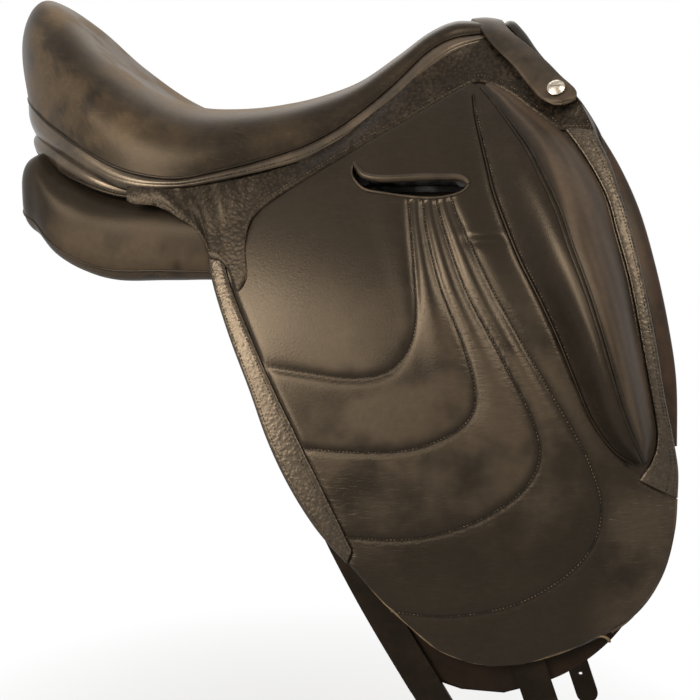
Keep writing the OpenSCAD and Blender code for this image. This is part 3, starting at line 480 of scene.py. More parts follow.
def tube(name, path, radius, sides=12, up=(0, 0, 1)):
    """A cord along a path. radius is a size, or a function of the share of the way."""
    last = len(path) - 1

    def place_row(v):
        i = round(v * last)
        way = (path[min(i + 1, last)] - path[max(i - 1, 0)]).normalized()
        side = way.cross(Vector(up)).normalized()
        return path[i], side, side.cross(way)

    def place_point(row, s, v):
        angle = 2 * math.pi * s
        r = radius(v) if callable(radius) else radius
        return row[0] + r * (math.cos(angle) * row[1] + math.sin(angle) * row[2])

    return closed(name, sides, last, place_row, place_point)


def under_rim(u, drop):
    """Point on the off side's rim, lowered square to it."""
    way = way_along(welt_line, u)
    side = way.cross(Vector((0, 0, 1))).normalized()
    return on_curve(welt_line, u / seat_last) - drop * side.cross(way)


def across(p):
    return Vector((p.x, -p.y, p.z))


def all_round(half):
    return [across(p) for p in half] + half[::-1]


def shares(count):
    return [i / count for i in range(count + 1)]


black_dye = (0.008, 0.0066, 0.0052)
edge_brown = (0.05, 0.036, 0.025)
piping_calf = calf("piping_calf", black_dye, edge_brown, 60.0, 0.25, 0.36, pores=900.0)
welt_r = 1.4
welt_steps = 110
welt_path = all_round([under_rim(seat_last * t, welt_r / 2) for t in shares(welt_steps)])
welt = tube("seat_welt_cord", welt_path, welt_r)
welt.data.materials.append(piping_calf)
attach(welt, "saddle")
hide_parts("seat_welt")

# Seat border: a smooth band sewn under the welt, which turns into the facing at the back of the
# cantle. A row of small stitches runs along its lower edge.
border_low = [
    (194, 41, 183), (164, 59, 170), (141, 68, 153), (110, 80, 123), (74, 94, 95), (40, 107, 75),
    (4, 120, 63), (-46, 135, 51), (-85, 139, 45), (-134, 134, 46), (-185, 117, 67), (-222, 94, 86),
    (-245, 72, 96), (-261, 48, 102), (-270, 22, 104), (-273, 2, 105)]
border_top = 2.0
border_thick = 2.6
border_bulge = 2.8


def border_row(v):
    """Upper and lower edge of the border, from the off side round the cantle to the near side."""
    u = seat_last * (1 - abs(2 * v - 1))
    top, low, way = under_rim(u, border_top), on_curve(border_low, u / seat_last), rim_in(u)
    low.y = max(low.y, 0.0)
    top.y = max(top.y, 0.0)
    return [across(p) for p in (top, low, way)] if v < 0.5 else [top, low, way]


def border_point(row, s, v):
    top, low, way = row
    return mix(low, top, s) - border_bulge * math.sin(math.pi * s) * way


border_calf = calf("border_calf", black_brown, rubbed_brown, 20.0, 0.9, 0.30, pores=700.0, shine=0.65)
border = sheet("seat_border_band", 12, 240, border_row, border_point, border_thick, 0.7)
border.data.materials.append(border_calf)
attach(border, "saddle")
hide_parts("seat_border")
thread_dark = (0.007, 0.0054, 0.0042)
thread_worn = (0.11, 0.082, 0.054)
thread, graph, socket = new_finish("waxed_thread", {"Roughness": 0.5, "Specular IOR Level": 0.2})
place = add(graph, "TexCoord").outputs["Object"]
wax = add(graph, "TexNoise", {"Vector": place, "Scale": 130.0, "Detail": 3.0})
ramp(graph, wax.outputs["Fac"], [(0.4, thread_dark), (0.62, thread_worn)], socket["Base Color"])
stitch_pitch = 3.1
stitch_half = 1.1
stitch_r = 0.5


def both_sides(piece):
    """Each side with its piece: the one given, and its mirror copy for the near side."""
    bm = bmesh.new()
    bm.from_mesh(piece.data)
    bmesh.ops.transform(bm, matrix=Matrix.Scale(-1, 4, (0, 1, 0)), verts=bm.verts[:])
    bmesh.ops.reverse_faces(bm, faces=bm.faces[:])
    twin = finished(piece.name.replace("_right", "_left"), bm)
    for finish in piece.data.materials:
        twin.data.materials.append(finish)
    return zip(SIDES, (piece, twin))


def sewn(name, paths, fix):
    """Rows of stitches along paths, on both sides, each fixed to what it is sewn in."""
    bm = bmesh.new()
    for path in paths:
        gone, due = 0.0, stitch_pitch / 2
        for a, b in zip(path, path[1:]):
            step = (b - a).length
            while gone + step > due:
                turn = (b - a).to_track_quat("X", "Z").to_matrix().to_4x4()
                size = Matrix.Diagonal((stitch_half * MM, stitch_r * MM, stitch_r * MM, 1))
                at = Matrix.Translation(mix(a, b, (due - gone) / step) * MM)
                bmesh.ops.create_icosphere(bm, subdivisions=1, radius=1.0, matrix=at @ turn @ size)
                due += stitch_pitch
            gone += step
    row = finished(name + "_right", bm)
    row.data.materials.append(thread)
    for side, piece in both_sides(row):
        fix(piece, side)


def on_tree(piece, side):
    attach(piece, "saddle")


border_sewn, border_seam = (4.0, 14.9), 0.2
border_rows = [mix(*border_sewn, t) / seat_last / 2 for t in shares(200)]
border_thread = [border_point(border_row(v), border_seam, v) for v in border_rows]
sewn("border_stitches", [border_thread], on_tree)

# Skirt: pebbled leather yoke on each side. It runs from the tab under the cantle past the tongue
# over the flap's rear edge, up under the welt to the pommel, and down to the front seam.
barrel_half = 228
barrel_pinch = 106
barrel_low = 422
barrel_span = 470
barrel_power = 2.33
barrel_mid = 105
barrel_round = 2100


def side_y(x, z):
    """Half width of the barrel on which the flaps lie."""
    pinch = barrel_pinch * (max(z + barrel_low, 0) / barrel_span) ** barrel_power
    return barrel_half - pinch - (x - barrel_mid) ** 2 / barrel_round


def on_side(x, z, lift):
    """Point of the off side, lifted off the barrel."""
    return Vector((x, -(side_y(x, z) + lift), z))


skirt_high = [
    (292, 88, 94), (285, 89, 108), (277, 88, 121), (266, 85, 134), (253, 75, 147), (238, 62, 161),
    (222, 50, 175), (206, 42, 186), (188, 45, 182), (171, 58, 171), (153, 66, 160), (134, 74, 146),
    (112, 81, 126), (92, 87, 111), (69, 95, 92), (46, 102, 79), (29, 107, 71), (12, 113, 66),
    (0, 117, 62), (-8, 120, 60), (-15, 122, 58), (-21, 124, 57), (-27, 126, 55), (-32, 128, 54),
    (-38, 130, 52), (-44, 132, 51), (-50, 133, 50), (-57, 135, 48), (-64, 136, 47), (-71, 137, 46),
    (-78, 138, 46), (-87, 138, 45), (-96, 139, 45), (-105, 139, 46), (-114, 138, 46), (-122, 137, 46),
    (-128, 136, 46)]
skirt_low = [
    (264, 97, 0), (255, 102, 0), (245, 110, 1), (234, 118, 1), (220, 130, 1), (208, 137, 0),
    (198, 141, 0), (188, 143, 0), (178, 139, 0), (164, 131, 0), (143, 118, 0), (120, 103, 0),
    (96, 89, 0), (77, 77, 0), (55, 64, 0), (33, 50, 0), (16, 40, 0), (-2, 26, 0),
    (-10, 15, 0), (-13, 5, 0), (-13, -7, 0), (-12, -16, 0), (-9, -29, 0), (-9, -38, 0),
    (-15, -45, 0), (-20, -38, 0), (-27, -26, 0), (-36, -18, 1), (-45, -15, 2), (-50, -5, 5),
    (-56, 5, 9), (-64, 13, 13), (-76, 20, 18), (-89, 27, 22), (-102, 31, 26), (-117, 32, 29),
    (-126, 35, 31)]
flap_t = 5.0
flap_clear = 0.5
skirt_t = 3.0
on_flap = flap_t + flap_clear
skirt_lay, skirt_tuck = on_flap + skirt_t, 0.7
tab_out = 34.0
tab_from = 25.0
tab_to = 125.0
tab_rise = 0.8
tab_back = 0.6


def off_barrel(p):
    return tab_out * smooth(tab_from, tab_to, tab_rise * p.y - tab_back * p.x)


def skirt_row(v):
    low, high = on_curve(skirt_low, v), on_curve(skirt_high, v)
    high_out = high.y - side_y(high.x, high.z) - skirt_lay
    foot, head = Vector((low.x, low.y)), Vector((high.x, high.z + skirt_tuck))
    return foot, head, low.z - off_barrel(foot), high_out - off_barrel(head)


def skirt_point(row, s, v, proud=0.0):
    low, high, low_out, high_out = row
    p = mix(low, high, s)
    return on_side(p.x, p.y, skirt_lay + off_barrel(p) + mix(low_out, high_out, s * s) + proud)


# Pebbled grain: rounded beads of hide, about three millimetres across, with valleys between them, which
# pebbled leather paints dark as shade
pebble_grain, place = effect("pebble_grain", [("Beads", "Float", 330.0)], [("Height", "Float")])
given, put = ends(pebble_grain)
wobble = add(pebble_grain, "TexNoise", {"Vector": place, "Scale": 160.0, "Detail": 2.0})
moved = add(pebble_grain, "MixRGB", {"Fac": 0.003, "Color1": place, "Color2": wobble.outputs["Color"]})
beads = add(pebble_grain, "TexVoronoi", {
    "Vector": moved.outputs["Color"], "Scale": given["Beads"]}, feature="SMOOTH_F1")
domed = add(pebble_grain, "MapRange", {
    "Value": beads.outputs["Distance"], "From Min": 0.1, "From Max": 0.62, "To Min": 1.0, "To Max": 0.0})
pebble_grain.links.new(domed.outputs["Result"], put["Height"])
bead_scale = 330.0
bead_depth = 0.0002
pebble_patch = 26.0
pebble_dull = 0.15


def pebbled(name, dye, rubbed, rub, gloss, shine):
    """Leather with an embossed grain, with painted shade between its beads and a painted highlight on them.
    """
    finish, graph, socket = new_finish(name, {"Specular IOR Level": shine, "Specular Tint": SHEEN_TINT})
    tone = use(graph, dye_cloud, {
        "Dye": (*dye, 1.0), "Rubbed": (*rubbed, 1.0), "Patch": pebble_patch, "Rub": rub})
    grain = use(graph, pebble_grain, {"Beads": bead_scale})["Height"]
    # Painted shade in the valleys and painted highlight on the bead tops
    bead_shade_and_glint = add(graph, "MapRange", {"Value": grain, "To Min": 0.3, "To Max": 1.45})
    colour = add(graph, "MixRGB", {
        "Fac": 1.0, "Color1": tone["Color"], "Color2": bead_shade_and_glint.outputs["Result"]}, blend_type="MULTIPLY")
    graph.links.new(colour.outputs["Color"], socket["Base Color"])
    sheen = add(graph, "MapRange", {"Value": tone["Rub"], "To Min": gloss, "To Max": gloss + pebble_dull})
    graph.links.new(sheen.outputs["Result"], socket["Roughness"])
    graph.links.new(bump(graph, grain, bead_depth), socket["Normal"])
    return finish


skirt_hide = pebbled("skirt_hide", black_brown, rubbed_brown, 0.25, 0.36, 0.2)
skirt = sheet("skirt_yoke_right", 20, 260, skirt_row, skirt_point, skirt_t, 0.8)
skirt.data.materials.append(skirt_hide)
for side, piece in both_sides(skirt):
    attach(piece, "saddle")
    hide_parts("skirt_" + side)
raw_tan = (0.115, 0.080, 0.048)
raw_dark = (0.030, 0.021, 0.014)
raw_edge = calf("raw_edge", raw_dark, raw_tan, 70.0, 1.0, 0.5)
OUTWARD = (0, 1, 0)
edge_r = 1.1
edge_in = 1.4
seam_in = 3.6
thread_proud = 0.2


def skirt_seam(v):
    row = skirt_row(v)
    return skirt_point(row, seam_in / max((row[1] - row[0]).length, 2 * seam_in), v, thread_proud)


skirt_steps = shares(420)
skirt_edge = [skirt_point(skirt_row(v), 0, v, -edge_in) for v in skirt_steps]
skirt_rim = tube("skirt_edge_right", skirt_edge, edge_r, 8, OUTWARD)
skirt_rim.data.materials.append(raw_edge)
for side, piece in both_sides(skirt_rim):
    on_tree(piece, side)
leg_seam = 0.008
leg_front = 0.93
leg_rows = (0.0, 0.1)
leg_ends = [skirt_point(skirt_row(leg_seam), s, leg_seam, thread_proud) for s in shares(40)[2:-1]]
leg_edge = []
for t in shares(60):
    v = mix(*leg_rows, t)
    leg_edge.append(skirt_point(skirt_row(v), leg_front, v, thread_proud))
sewn("skirt_stitches", [[skirt_seam(v) for v in skirt_steps], leg_ends, leg_edge], on_tree)

# Pommel strap: a strap of plain leather laid over the arch and the skirt on each side, a little
# bowed across its width. A screw holds each of its rounded ends.
strap_rear = [
    (177, 0, 208), (181, 22, 205), (190, 42, 191), (203, 56, 174), (219, 69, 157), (231, 79, 141),
    (238, 86, 132), (244, 91, 125), (250, 95, 121), (256, 97, 118), (263, 98, 117)]
strap_front = [
    (205, 0, 206), (208, 22, 203), (217, 42, 189), (234, 56, 173), (250, 69, 157), (263, 81, 142),
    (270, 87, 135), (275, 92, 129), (276, 95, 124), (272, 97, 120), (264, 98, 117)]
strap_t = 2.5
strap_bow = 1.6
strap_crown = 60


def strap_row(v):
    t = abs(2 * v - 1)
    ends_pair = [on_curve(strap_rear, t), on_curve(strap_front, t)]
    return ends_pair if v < 0.5 else [across(p) for p in ends_pair]


def strap_point(row, s, v):
    p = mix(row[1], row[0], s)
    lift = Vector((0, math.copysign(min(abs(p.y), strap_crown), p.y), strap_crown)).normalized()
    return p + strap_bow * math.sin(math.pi * s) * lift


strap_calf = calf("strap_calf", black_brown, rubbed_brown, 16.0, 1.0, 0.38, shine=0.32)
strap = sheet("pommel_strap_calf", 16, 140, strap_row, strap_point, strap_t, 0.8)
strap.data.materials.append(strap_calf)
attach(strap, "saddle")
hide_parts("pommel_strap")

# Pommel facing: thin leather rolled over a cord and sewn round the front of the arch. It is thick
# at the crown and runs out slim at the points.
facing_line = [
    (214, 0, 199), (217, 17, 196), (226, 31, 184), (236, 45, 168), (248, 58, 152), (259, 64, 140),
    (269, 66, 129), (280, 66, 117), (290, 69, 103), (298, 75, 89), (304, 82, 72)]
facing_r, facing_tip = 6.5, 1.2
FORWARD = (1, 0, 0)


def curve(points, count):
    return [on_curve(points, t) for t in shares(count)]


def facing_taper(v):
    return mix(facing_r, facing_tip, abs(2 * v - 1) ** 2)


facing = tube("pommel_facing_roll", all_round(curve(facing_line, 90)[::-1]), facing_taper, 16, FORWARD)
facing.data.materials.append(piping_calf)
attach(facing, "saddle")

# Arch lining: thin leather glued under the head and the side bars, from the gullet forward, and
# turned out over the front edge to its hem, so that no wood shows.
lining_back = [
    (60, 0, 112), (60, 16, 110), (60, 30, 103), (60, 44, 92), (60, 56, 76), (60, 66, 58), (60, 68, 42),
    (60, 68, 30)]
lining_head = [
    (140, 0, 148), (140, 15, 145), (140, 27, 132), (140, 40, 110), (140, 54, 82), (140, 66, 63),
    (140, 67, 42), (140, 67, 30)]
lining_front = [
    (203, 0, 169), (208, 15, 165), (237, 27, 149), (259, 40, 123), (270, 54, 91), (271, 66, 68),
    (268, 67, 42), (266, 67, 30)]
lining_face = [
    (214, 0, 199), (218, 18, 195), (232, 40, 175), (256, 63, 144), (284, 66, 117), (297, 72, 95),
    (301, 79, 76), (299, 82, 60)]
lining_hem = [
    (200, 0, 202), (206, 20, 197), (222, 46, 175), (250, 72, 148), (274, 85, 122), (285, 86, 106),
    (291, 86, 92), (294, 88, 76)]
lining_lines = (lining_back, lining_head, lining_front, lining_face, lining_hem)
lining_t = 1.6


def lining_row(v):
    t = abs(2 * v - 1)
    line = [on_curve(points, t) for points in lining_lines]
    return line if v < 0.5 else [across(p) for p in line]


def lining_point(row, s, v):
    spans = len(row) - 1
    i = min(int(spans * s), spans - 1)
    return mix(row[i], row[i + 1], spans * s - i)


lining = sheet("arch_lining", 40, 120, lining_row, lining_point, lining_t, 0.5)
lining.data.materials.append(strap_calf)
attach(lining, "saddle")

# Pommel screws: nickel screws with slotted heads, which go through strap and skirt into the tree.
# The heads are worn bright, with a little tarnish.
nickel_bright = (0.62, 0.57, 0.48)
nickel_dull = (0.30, 0.25, 0.19)
nickel, graph, socket = new_finish("screw_nickel", {"Metallic": 1.0})
place = add(graph, "TexCoord").outputs["Object"]
tarnish = add(graph, "TexNoise", {"Vector": place, "Scale": 260.0, "Detail": 5.0})
hairline = add(graph, "TexNoise", {"Vector": place, "Scale": 1400.0, "Detail": 2.0})
ramp(graph, tarnish.outputs["Fac"], [(0.35, nickel_dull), (0.6, nickel_bright)], socket["Base Color"])
ramp(graph, tarnish.outputs["Fac"], [(0.3, (0.42,) * 3), (0.65, (0.22,) * 3)], socket["Roughness"])
graph.links.new(bump(graph, hairline.outputs["Fac"], 0.00005), socket["Normal"])
for side in SIDES:
    dress(nickel, "pommel_screw_" + side)

# Sweat flaps: a single layer of heavy dark brown leather under each flap, nailed to the tree at
# its top. It keeps the girth straps off the horse, and its bottom shows below the flap.
sweat_rear = [
    (-16, -30), (-2, -84), (16, -130), (35, -174), (56, -214), (80, -252), (104, -290), (130, -328),
    (158, -360), (190, -373)]
sweat_front = [
    (266, 55), (310, 14), (328, -45), (340, -105), (350, -165), (352, -220), (344, -272), (318, -322),
    (276, -357), (226, -375)]
sweat_out, sweat_t = -4.6, 3.0


def sweat_row(v):
    return on_curve(sweat_rear, 1 - v), on_curve(sweat_front, 1 - v)


def sweat_point(row, s, v):
    p = mix(row[0], row[1], s)
    return on_side(p.x, p.y, sweat_out)


sweat_dye = (0.010, 0.0064, 0.0045)
sweat_rub = (0.030, 0.018, 0.011)
sweat_calf = calf("sweat_flap_calf", sweat_dye, sweat_rub, 18.0, 0.5, 0.5, shine=0.1)
sweat = sheet("sweat_flap_calf_right", 60, 90, sweat_row, sweat_point, sweat_t, 0.8)
sweat.data.materials.append(sweat_calf)
for side, piece in both_sides(sweat):
    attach(piece, "saddle")
    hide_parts("sweat_flap_" + side)

# Girth straps: two on each side, each one strap of bridle leather from the tree down between flap
# and sweat flap. The free end below has punched holes and a rounded tip.
billet_w = 27.0
billet_t = 4.0
billet_len = 230.0
billet_hole = 5.0
billet_tip = 40.0
billet_pitch = 25.0
billet_holes = 7
strap_out, tip_least = -0.3, 0.12
fixed_steps, loose_steps = 90, 150
bend_reach = (-10.0, 22.0)
girth_lines = {
    "front": [(150, 24), (152, -20), (166, -90), (188, -170), (212, -250), (236, -322), (257, -383)],
    "rear": [(-6, 36), (0, -20), (16, -90), (42, -160), (74, -226), (112, -294), (160, -372)]}
bridle_dye = (0.007, 0.0052, 0.004)
bridle_rub = (0.024, 0.016, 0.011)
bridle = calf("bridle_leather", bridle_dye, bridle_rub, 30.0, 0.4, 0.42, shine=0.1)


def hang_way(line):
    return (Vector(line[-1]) - Vector(line[-2])).normalized()


def girth_strap(name, line):
    """One strap: its upper length lies on the barrel, and its free end hangs straight, punched."""
    way = hang_way(line)
    hang_y = -(side_y(*line[-1]) + strap_out)
    loose = [Vector(line[-1]) + way * billet_len * t for t in shares(loose_steps)[1:]]
    path = curve(line, fixed_steps) + loose
    last = len(path) - 1

    def place_row(v):
        i = last - round(v * last)
        ahead = (path[min(i + 1, last)] - path[max(i - 1, 0)]).normalized()
        from_tip = (last - i) / loose_steps * billet_len
        tip = min(from_tip / (billet_w / 2), 1.0)
        half = billet_w / 2 * max(math.sqrt(max(0.0, 1 - (1 - tip) ** 2)), tip_least)
        return path[i], Vector((-ahead.y, ahead.x)) * half, i <= fixed_steps

    def place_point(row, s):
        p = row[0] + row[1] * (2 * s - 1)
        return on_side(p.x, p.y, strap_out) if row[2] else Vector((p.x, hang_y, p.y))

    bm = bmesh.new()
    bmesh.ops.create_grid(bm, x_segments=16, y_segments=last, size=0.5)
    for vert in bm.verts:
        vert.co = place_point(place_row(vert.co.y + 0.5), vert.co.x + 0.5) * MM
    for k in range(billet_holes):
        centre = Vector(line[-1]) + way * (billet_len - billet_tip - k * billet_pitch)
        middle = Vector((centre.x, hang_y, centre.y)) * MM
        r = billet_hole / 2 * MM
        punched = [f for f in bm.faces if (f.calc_center_median() - middle).length < r]
        bmesh.ops.delete(bm, geom=punched, context="FACES")
        for vert in bm.verts:
            if (vert.co - middle).length < 2 * r and any(e.is_boundary for e in vert.link_edges):
                vert.co = middle + (vert.co - middle).normalized() * r
    thicken(bm, billet_t, 0.7)
    strap = finished(name, bm)
    strap.data.materials.append(bridle)
    return strap


def in_metres(p):
    return tuple(c * MM for c in p)


for place_name, line in girth_lines.items():
    bends = [Vector(line[-1]) + hang_way(line) * reach for reach in bend_reach]
    hang_y = side_y(*line[-1]) + strap_out - billet_t / 2
    for side, piece in both_sides(girth_strap(f"girth_strap_{place_name}_whole_right", line)):
        y = -hang_y if side == "right" else hang_y
        first, second = (in_metres((p.x, y, p.y)) for p in bends)
        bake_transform(piece)
        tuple(first)
        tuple(second)
        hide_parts(f"girth_strap_{place_name}_{side}", f"billet_{place_name}_{side}")

# Flaps: one large piece of smooth leather on each side, laid over thin padding and quilted by four
# nested rows of stitching.
bend_rear, bend_front = Vector((-34, -52)), Vector((300, 80))
upper_top = [
    (290, 99), (262, 110), (240, 124), (218, 141), (197, 152), (178, 148), (150, 133), (120, 113), (77, 87),
    (33, 60), (10, 46), (-12, 28), (-26, 10), (-40, -8), (-46, -19)]
flap_rear = [
    (-34, -52), (-19, -86), (3, -130), (22, -172), (43, -209), (68, -243), (95, -270), (122, -298),
    (146, -319), (170, -338), (193, -347), (212, -350)]
flap_front = [
    (300, 80), (318, 30), (331, -22), (343, -75), (350, -120), (360, -170), (362, -205), (361, -240),
    (351, -277), (329, -308), (290, -331), (244, -347)]
rear_band_in = [(-31, -22), (-20, -48), (4, -92), (24, -128), (46, -165), (66, -200), (84, -232), (98, -258)]
block_rear = [
    (328, -184), (310, -172), (292, -148), (277, -115), (262, -80), (246, -48), (230, -18), (216, 14),
    (206, 40), (200, 62), (194, 84), (188, 108), (185, 128)]
block_front = [
    (340, -178), (343, -158), (338, -128), (332, -97), (326, -65), (319, -31), (309, 5), (300, 37),
    (281, 72), (266, 91), (246, 108), (222, 127), (198, 140)]
channels = [
    [(133, 31), (136, 9), (141, -25), (145, -63), (142, -88), (130, -107), (112, -116), (85, -118),
     (54, -115), (18, -111)],
    [(146, 30), (150, 6), (164, -40), (184, -85), (196, -123), (193, -147), (172, -164), (140, -175),
     (98, -178), (54, -177)],
    [(158, 30), (165, 8), (186, -44), (216, -97), (243, -147), (250, -180), (234, -208), (195, -233),
     (145, -247), (92, -248)],
    [(170, 33), (179, 12), (214, -54), (254, -120), (290, -182), (301, -225), (285, -263), (240, -295),
     (185, -309), (132, -308)]]
slot_upper = [
    (81, 66), (85, 61), (92, 54), (106, 51), (124, 51), (143, 52), (160, 52), (174, 52), (181, 50),
    (185, 46)]
slot_lower = [
    (81, 66), (80, 56), (86, 47), (95, 41), (112, 38), (125, 36), (144, 34), (157, 34), (170, 36),
    (180, 40), (185, 46)]
hem_rear = flap_rear[:5:-1] + rear_band_in[:0:-1] + [
    (-22, -38), (-20, -20), (-17, -7), (-13, 5), (-10, 15), (-2, 26), (33, 50), (77, 77), (120, 103),
    (164, 131), (178, 139), (188, 143)]
hem_front = flap_front[:6:-1] + [(352, -208), (331, -194)] + block_rear[1:]
pad_rise = 2.0
pad_soft = 2.6
strip_rise = 3.4
strip_share = 0.2
seam_round = 1.0
hem_soft = 2.5
strip_slant = 0.42
strip_from = (100, 132)
strip_foot = (-210, -130)
fold_x = 201.0
fold_half = 15.0
fold_z = 0.0
fold_rise = 1.6
fold_soft = 3.2
flap_under = 0.4
slot_snap = 4.0
bend_share = 0.8
channel_paths = [curve(points, 240) for points in channels]
seam_trees = []
for points in channel_paths:
    seam_tree = kdtree.KDTree(len(points))
    for i, p in enumerate(points):
        seam_tree.insert((p.x, p.y, 0), i)
    seam_tree.balance()
    seam_trees.append(seam_tree)


def seam_gaps(x, z):
    return [seam_tree.find((x, z, 0))[2] for seam_tree in seam_trees]


def puff(x, z):
    """Height of the padding under the leather: it falls to each sewn channel and to the hem."""
    free = min(x - x_at(hem_rear, z), x_at(hem_front, z) - x)
    if free <= 0:
        return 0.0
    strip = smooth(*strip_from, x + strip_slant * z) * smooth(*strip_foot, z)
    near, far = sorted(seam_gaps(x, z))[:2]
    away = math.hypot(near, seam_round) - seam_round
    pad = pad_rise * (1 - math.exp(-away / pad_soft))
    roll = min(strip_rise, strip_share * (near + far)) * 4 * away * far / (away + far) ** 2
    up, along = (z - fold_z) / fold_soft, (x - fold_x) / fold_half
    fold = fold_rise * (math.exp(-(up - 1) ** 2) - math.exp(-(up + 1) ** 2)) * math.exp(-along * along)
    return mix(pad, roll + fold, strip) * (1 - math.exp(-free / hem_soft))


def flap_row(v):
    if v < bend_share:
        t = 1 - v / bend_share
        return on_curve(flap_rear, t), on_curve(flap_front, t), None, 0.0
    return None, None, upper_top, (v - bend_share) / (1 - bend_share)


def flap_point(row, s, v):
    rear, front, top, up = row
    if top is None:
        p = mix(rear, front, s)
    else:
        p = mix(mix(bend_rear, bend_front, s), on_curve(top, 1 - s), up)
    return on_side(p.x, p.y, flap_t + puff(p.x, p.y))


def inside(outline, x, z):
    """Whether a point lies within a closed outline."""
    odd = False
    for (x0, z0), (x1, z1) in zip(outline, outline[1:] + outline[:1]):
        if (z0 > z) != (z1 > z) and x < x0 + (z - z0) * (x1 - x0) / (z1 - z0):
            odd = not odd
    return odd


slot_outline = [tuple(p) for p in curve(slot_upper, 60) + curve(slot_lower, 60)[::-1]]


def flap_leather(name, cols=200, rows=240):
    """The flap with its slot cut out, where the cut edge is drawn to the slot's outline."""
    bm = bmesh.new()
    bmesh.ops.create_grid(bm, x_segments=cols, y_segments=rows, size=0.5)
    made_rows = [flap_row(i / rows) for i in range(rows + 1)]
    for vert in bm.verts:
        i = round((vert.co.y + 0.5) * rows)
        vert.co = flap_point(made_rows[i], vert.co.x + 0.5, i / rows) * MM
    open_faces = [f for f in bm.faces if inside(slot_outline, *(f.calc_center_median().xz / MM))]
    bmesh.ops.delete(bm, geom=open_faces, context="FACES")
    rim = kdtree.KDTree(len(slot_outline))
    for i, (x, z) in enumerate(slot_outline):
        rim.insert((x, z, 0), i)
    rim.balance()
    for vert in bm.verts:
        if any(e.is_boundary for e in vert.link_edges):
            x, z = vert.co.xz / MM
            near, _, gap = rim.find((x, z, 0))
            if gap < slot_snap:
                vert.co = on_side(near.x, near.y, flap_t + puff(near.x, near.y)) * MM
    thicken(bm, flap_t - flap_under, 0.9)
    return finished(name, bm)


# Creases, rubbing and painted seam shade of the flap: each pair is the span over which a mark comes in or
# fades
seam_clear, seam_shade_span = 0.5, (0.7, 2.4)
low_crease_top = (-170, -215)
low_crease_foot = (-345, -320)
low_crease_front = (340, 270)
top_crease_rear = (120, 160)
top_crease_foot = (60, 90)
top_crease_share = 0.5
strip_crease_rear = (105, 130)
strip_crease_top = (-20, -60)
strip_crease_foot = (-260, -190)
front_crease_rear = (275, 310)
front_crease_top = (-185, -215)
front_crease_foot = (-345, -300)
crease_clear = 7.0
strip_clear = 5.0
strip_crease_share = 0.8
knee_top = (-20, -100)
knee_foot = (-300, -170)
knee_rear = (20, 90)
knee_front = (330, 240)
toe_rear, toe_top = (280, 330), (-195, -220)
rub_all = 0.06
rub_knee = 0.8
rub_toe = 0.7
rub_clear = 9.0
flap_cloud, flap_smudge = 0.018, (0.2, 0.75)


def off_seam(p, soft):
    return smooth(seam_clear, soft, min(seam_gaps(p.x, p.z)))


# Painted shade in the quilting channels, which lie in shadow
def seam_shade(p):
    return 1 - smooth(*seam_shade_span, min(seam_gaps(p.x, p.z)))


def level_crease(p):
    low = smooth(*low_crease_top, p.z) * smooth(*low_crease_foot, p.z) * smooth(*low_crease_front, p.x)
    top = top_crease_share * smooth(*top_crease_rear, p.x) * smooth(*top_crease_foot, p.z)
    return max(low, top) * off_seam(p, crease_clear)


def strip_crease(p):
    slant = smooth(*strip_crease_rear, p.x + strip_slant * p.z)
    height = smooth(*strip_crease_top, p.z) * smooth(*strip_crease_foot, p.z)
    return strip_crease_share * slant * height * off_seam(p, strip_clear)


def front_crease(p):
    height = smooth(*front_crease_top, p.z) * smooth(*front_crease_foot, p.z)
    return smooth(*front_crease_rear, p.x) * height * off_seam(p, crease_clear)


def flap_rub(p):
    knee = smooth(*knee_top, p.z) * smooth(*knee_foot, p.z)
    knee *= smooth(*knee_rear, p.x) * smooth(*knee_front, p.x)
    toe = smooth(*toe_rear, p.x) * smooth(*toe_top, p.z)
    worn = rub_all + rub_knee * knee + rub_toe * toe
    return min(1.0, worn * smooth(*flap_smudge, clouds(p, flap_cloud, 4)) * off_seam(p, rub_clear))


flap_dye = (0.0095, 0.0074, 0.0054)
flap_worn = (0.052, 0.039, 0.027)
flap_creases = (
    ("level_crease", 0.03, 1.0, 0.0002), ("strip_crease", strip_slant, 0.8, 0.00014),
    ("front_crease", 0.1, 1.0, 0.0003))
flap_calf = calf(
    "flap_calf", flap_dye, flap_worn, 9.0, 0.06, 0.27, mask="rubbed", creases=flap_creases, seam="seam",
    shine=0.24)
flap = flap_leather("flap_quilted_right")
mark(flap, "level_crease", level_crease)
mark(flap, "strip_crease", strip_crease)
mark(flap, "front_crease", front_crease)
mark(flap, "rubbed", flap_rub)
mark(flap, "seam", seam_shade)
flap.data.materials.append(flap_calf)
bend_start, bend_end = Vector((130.5, -141.3, 18.9)), Vector((154.0, -162.9, -27.2))


def lifts(piece, side):
    """Fixes a piece with its flap; the ends of the bend line below the slot are worked out but not used."""
    first, second = (bend_start, bend_end) if side == "right" else (across(bend_start), across(bend_end))
    in_metres(first)
    in_metres(second)
    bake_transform(piece)


for side, piece in both_sides(flap):
    lifts(piece, side)
    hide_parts("upper_flap_" + side, "flap_" + side, "flap_quilting_" + side)
channel_proud = 0.35


def on_puff(p, lift):
    return on_side(p.x, p.y, flap_t + puff(p.x, p.y) + lift)


channel_threads = [[on_puff(p, channel_proud) for p in path] for path in channel_paths]
sewn("channel_stitches", channel_threads, lifts)

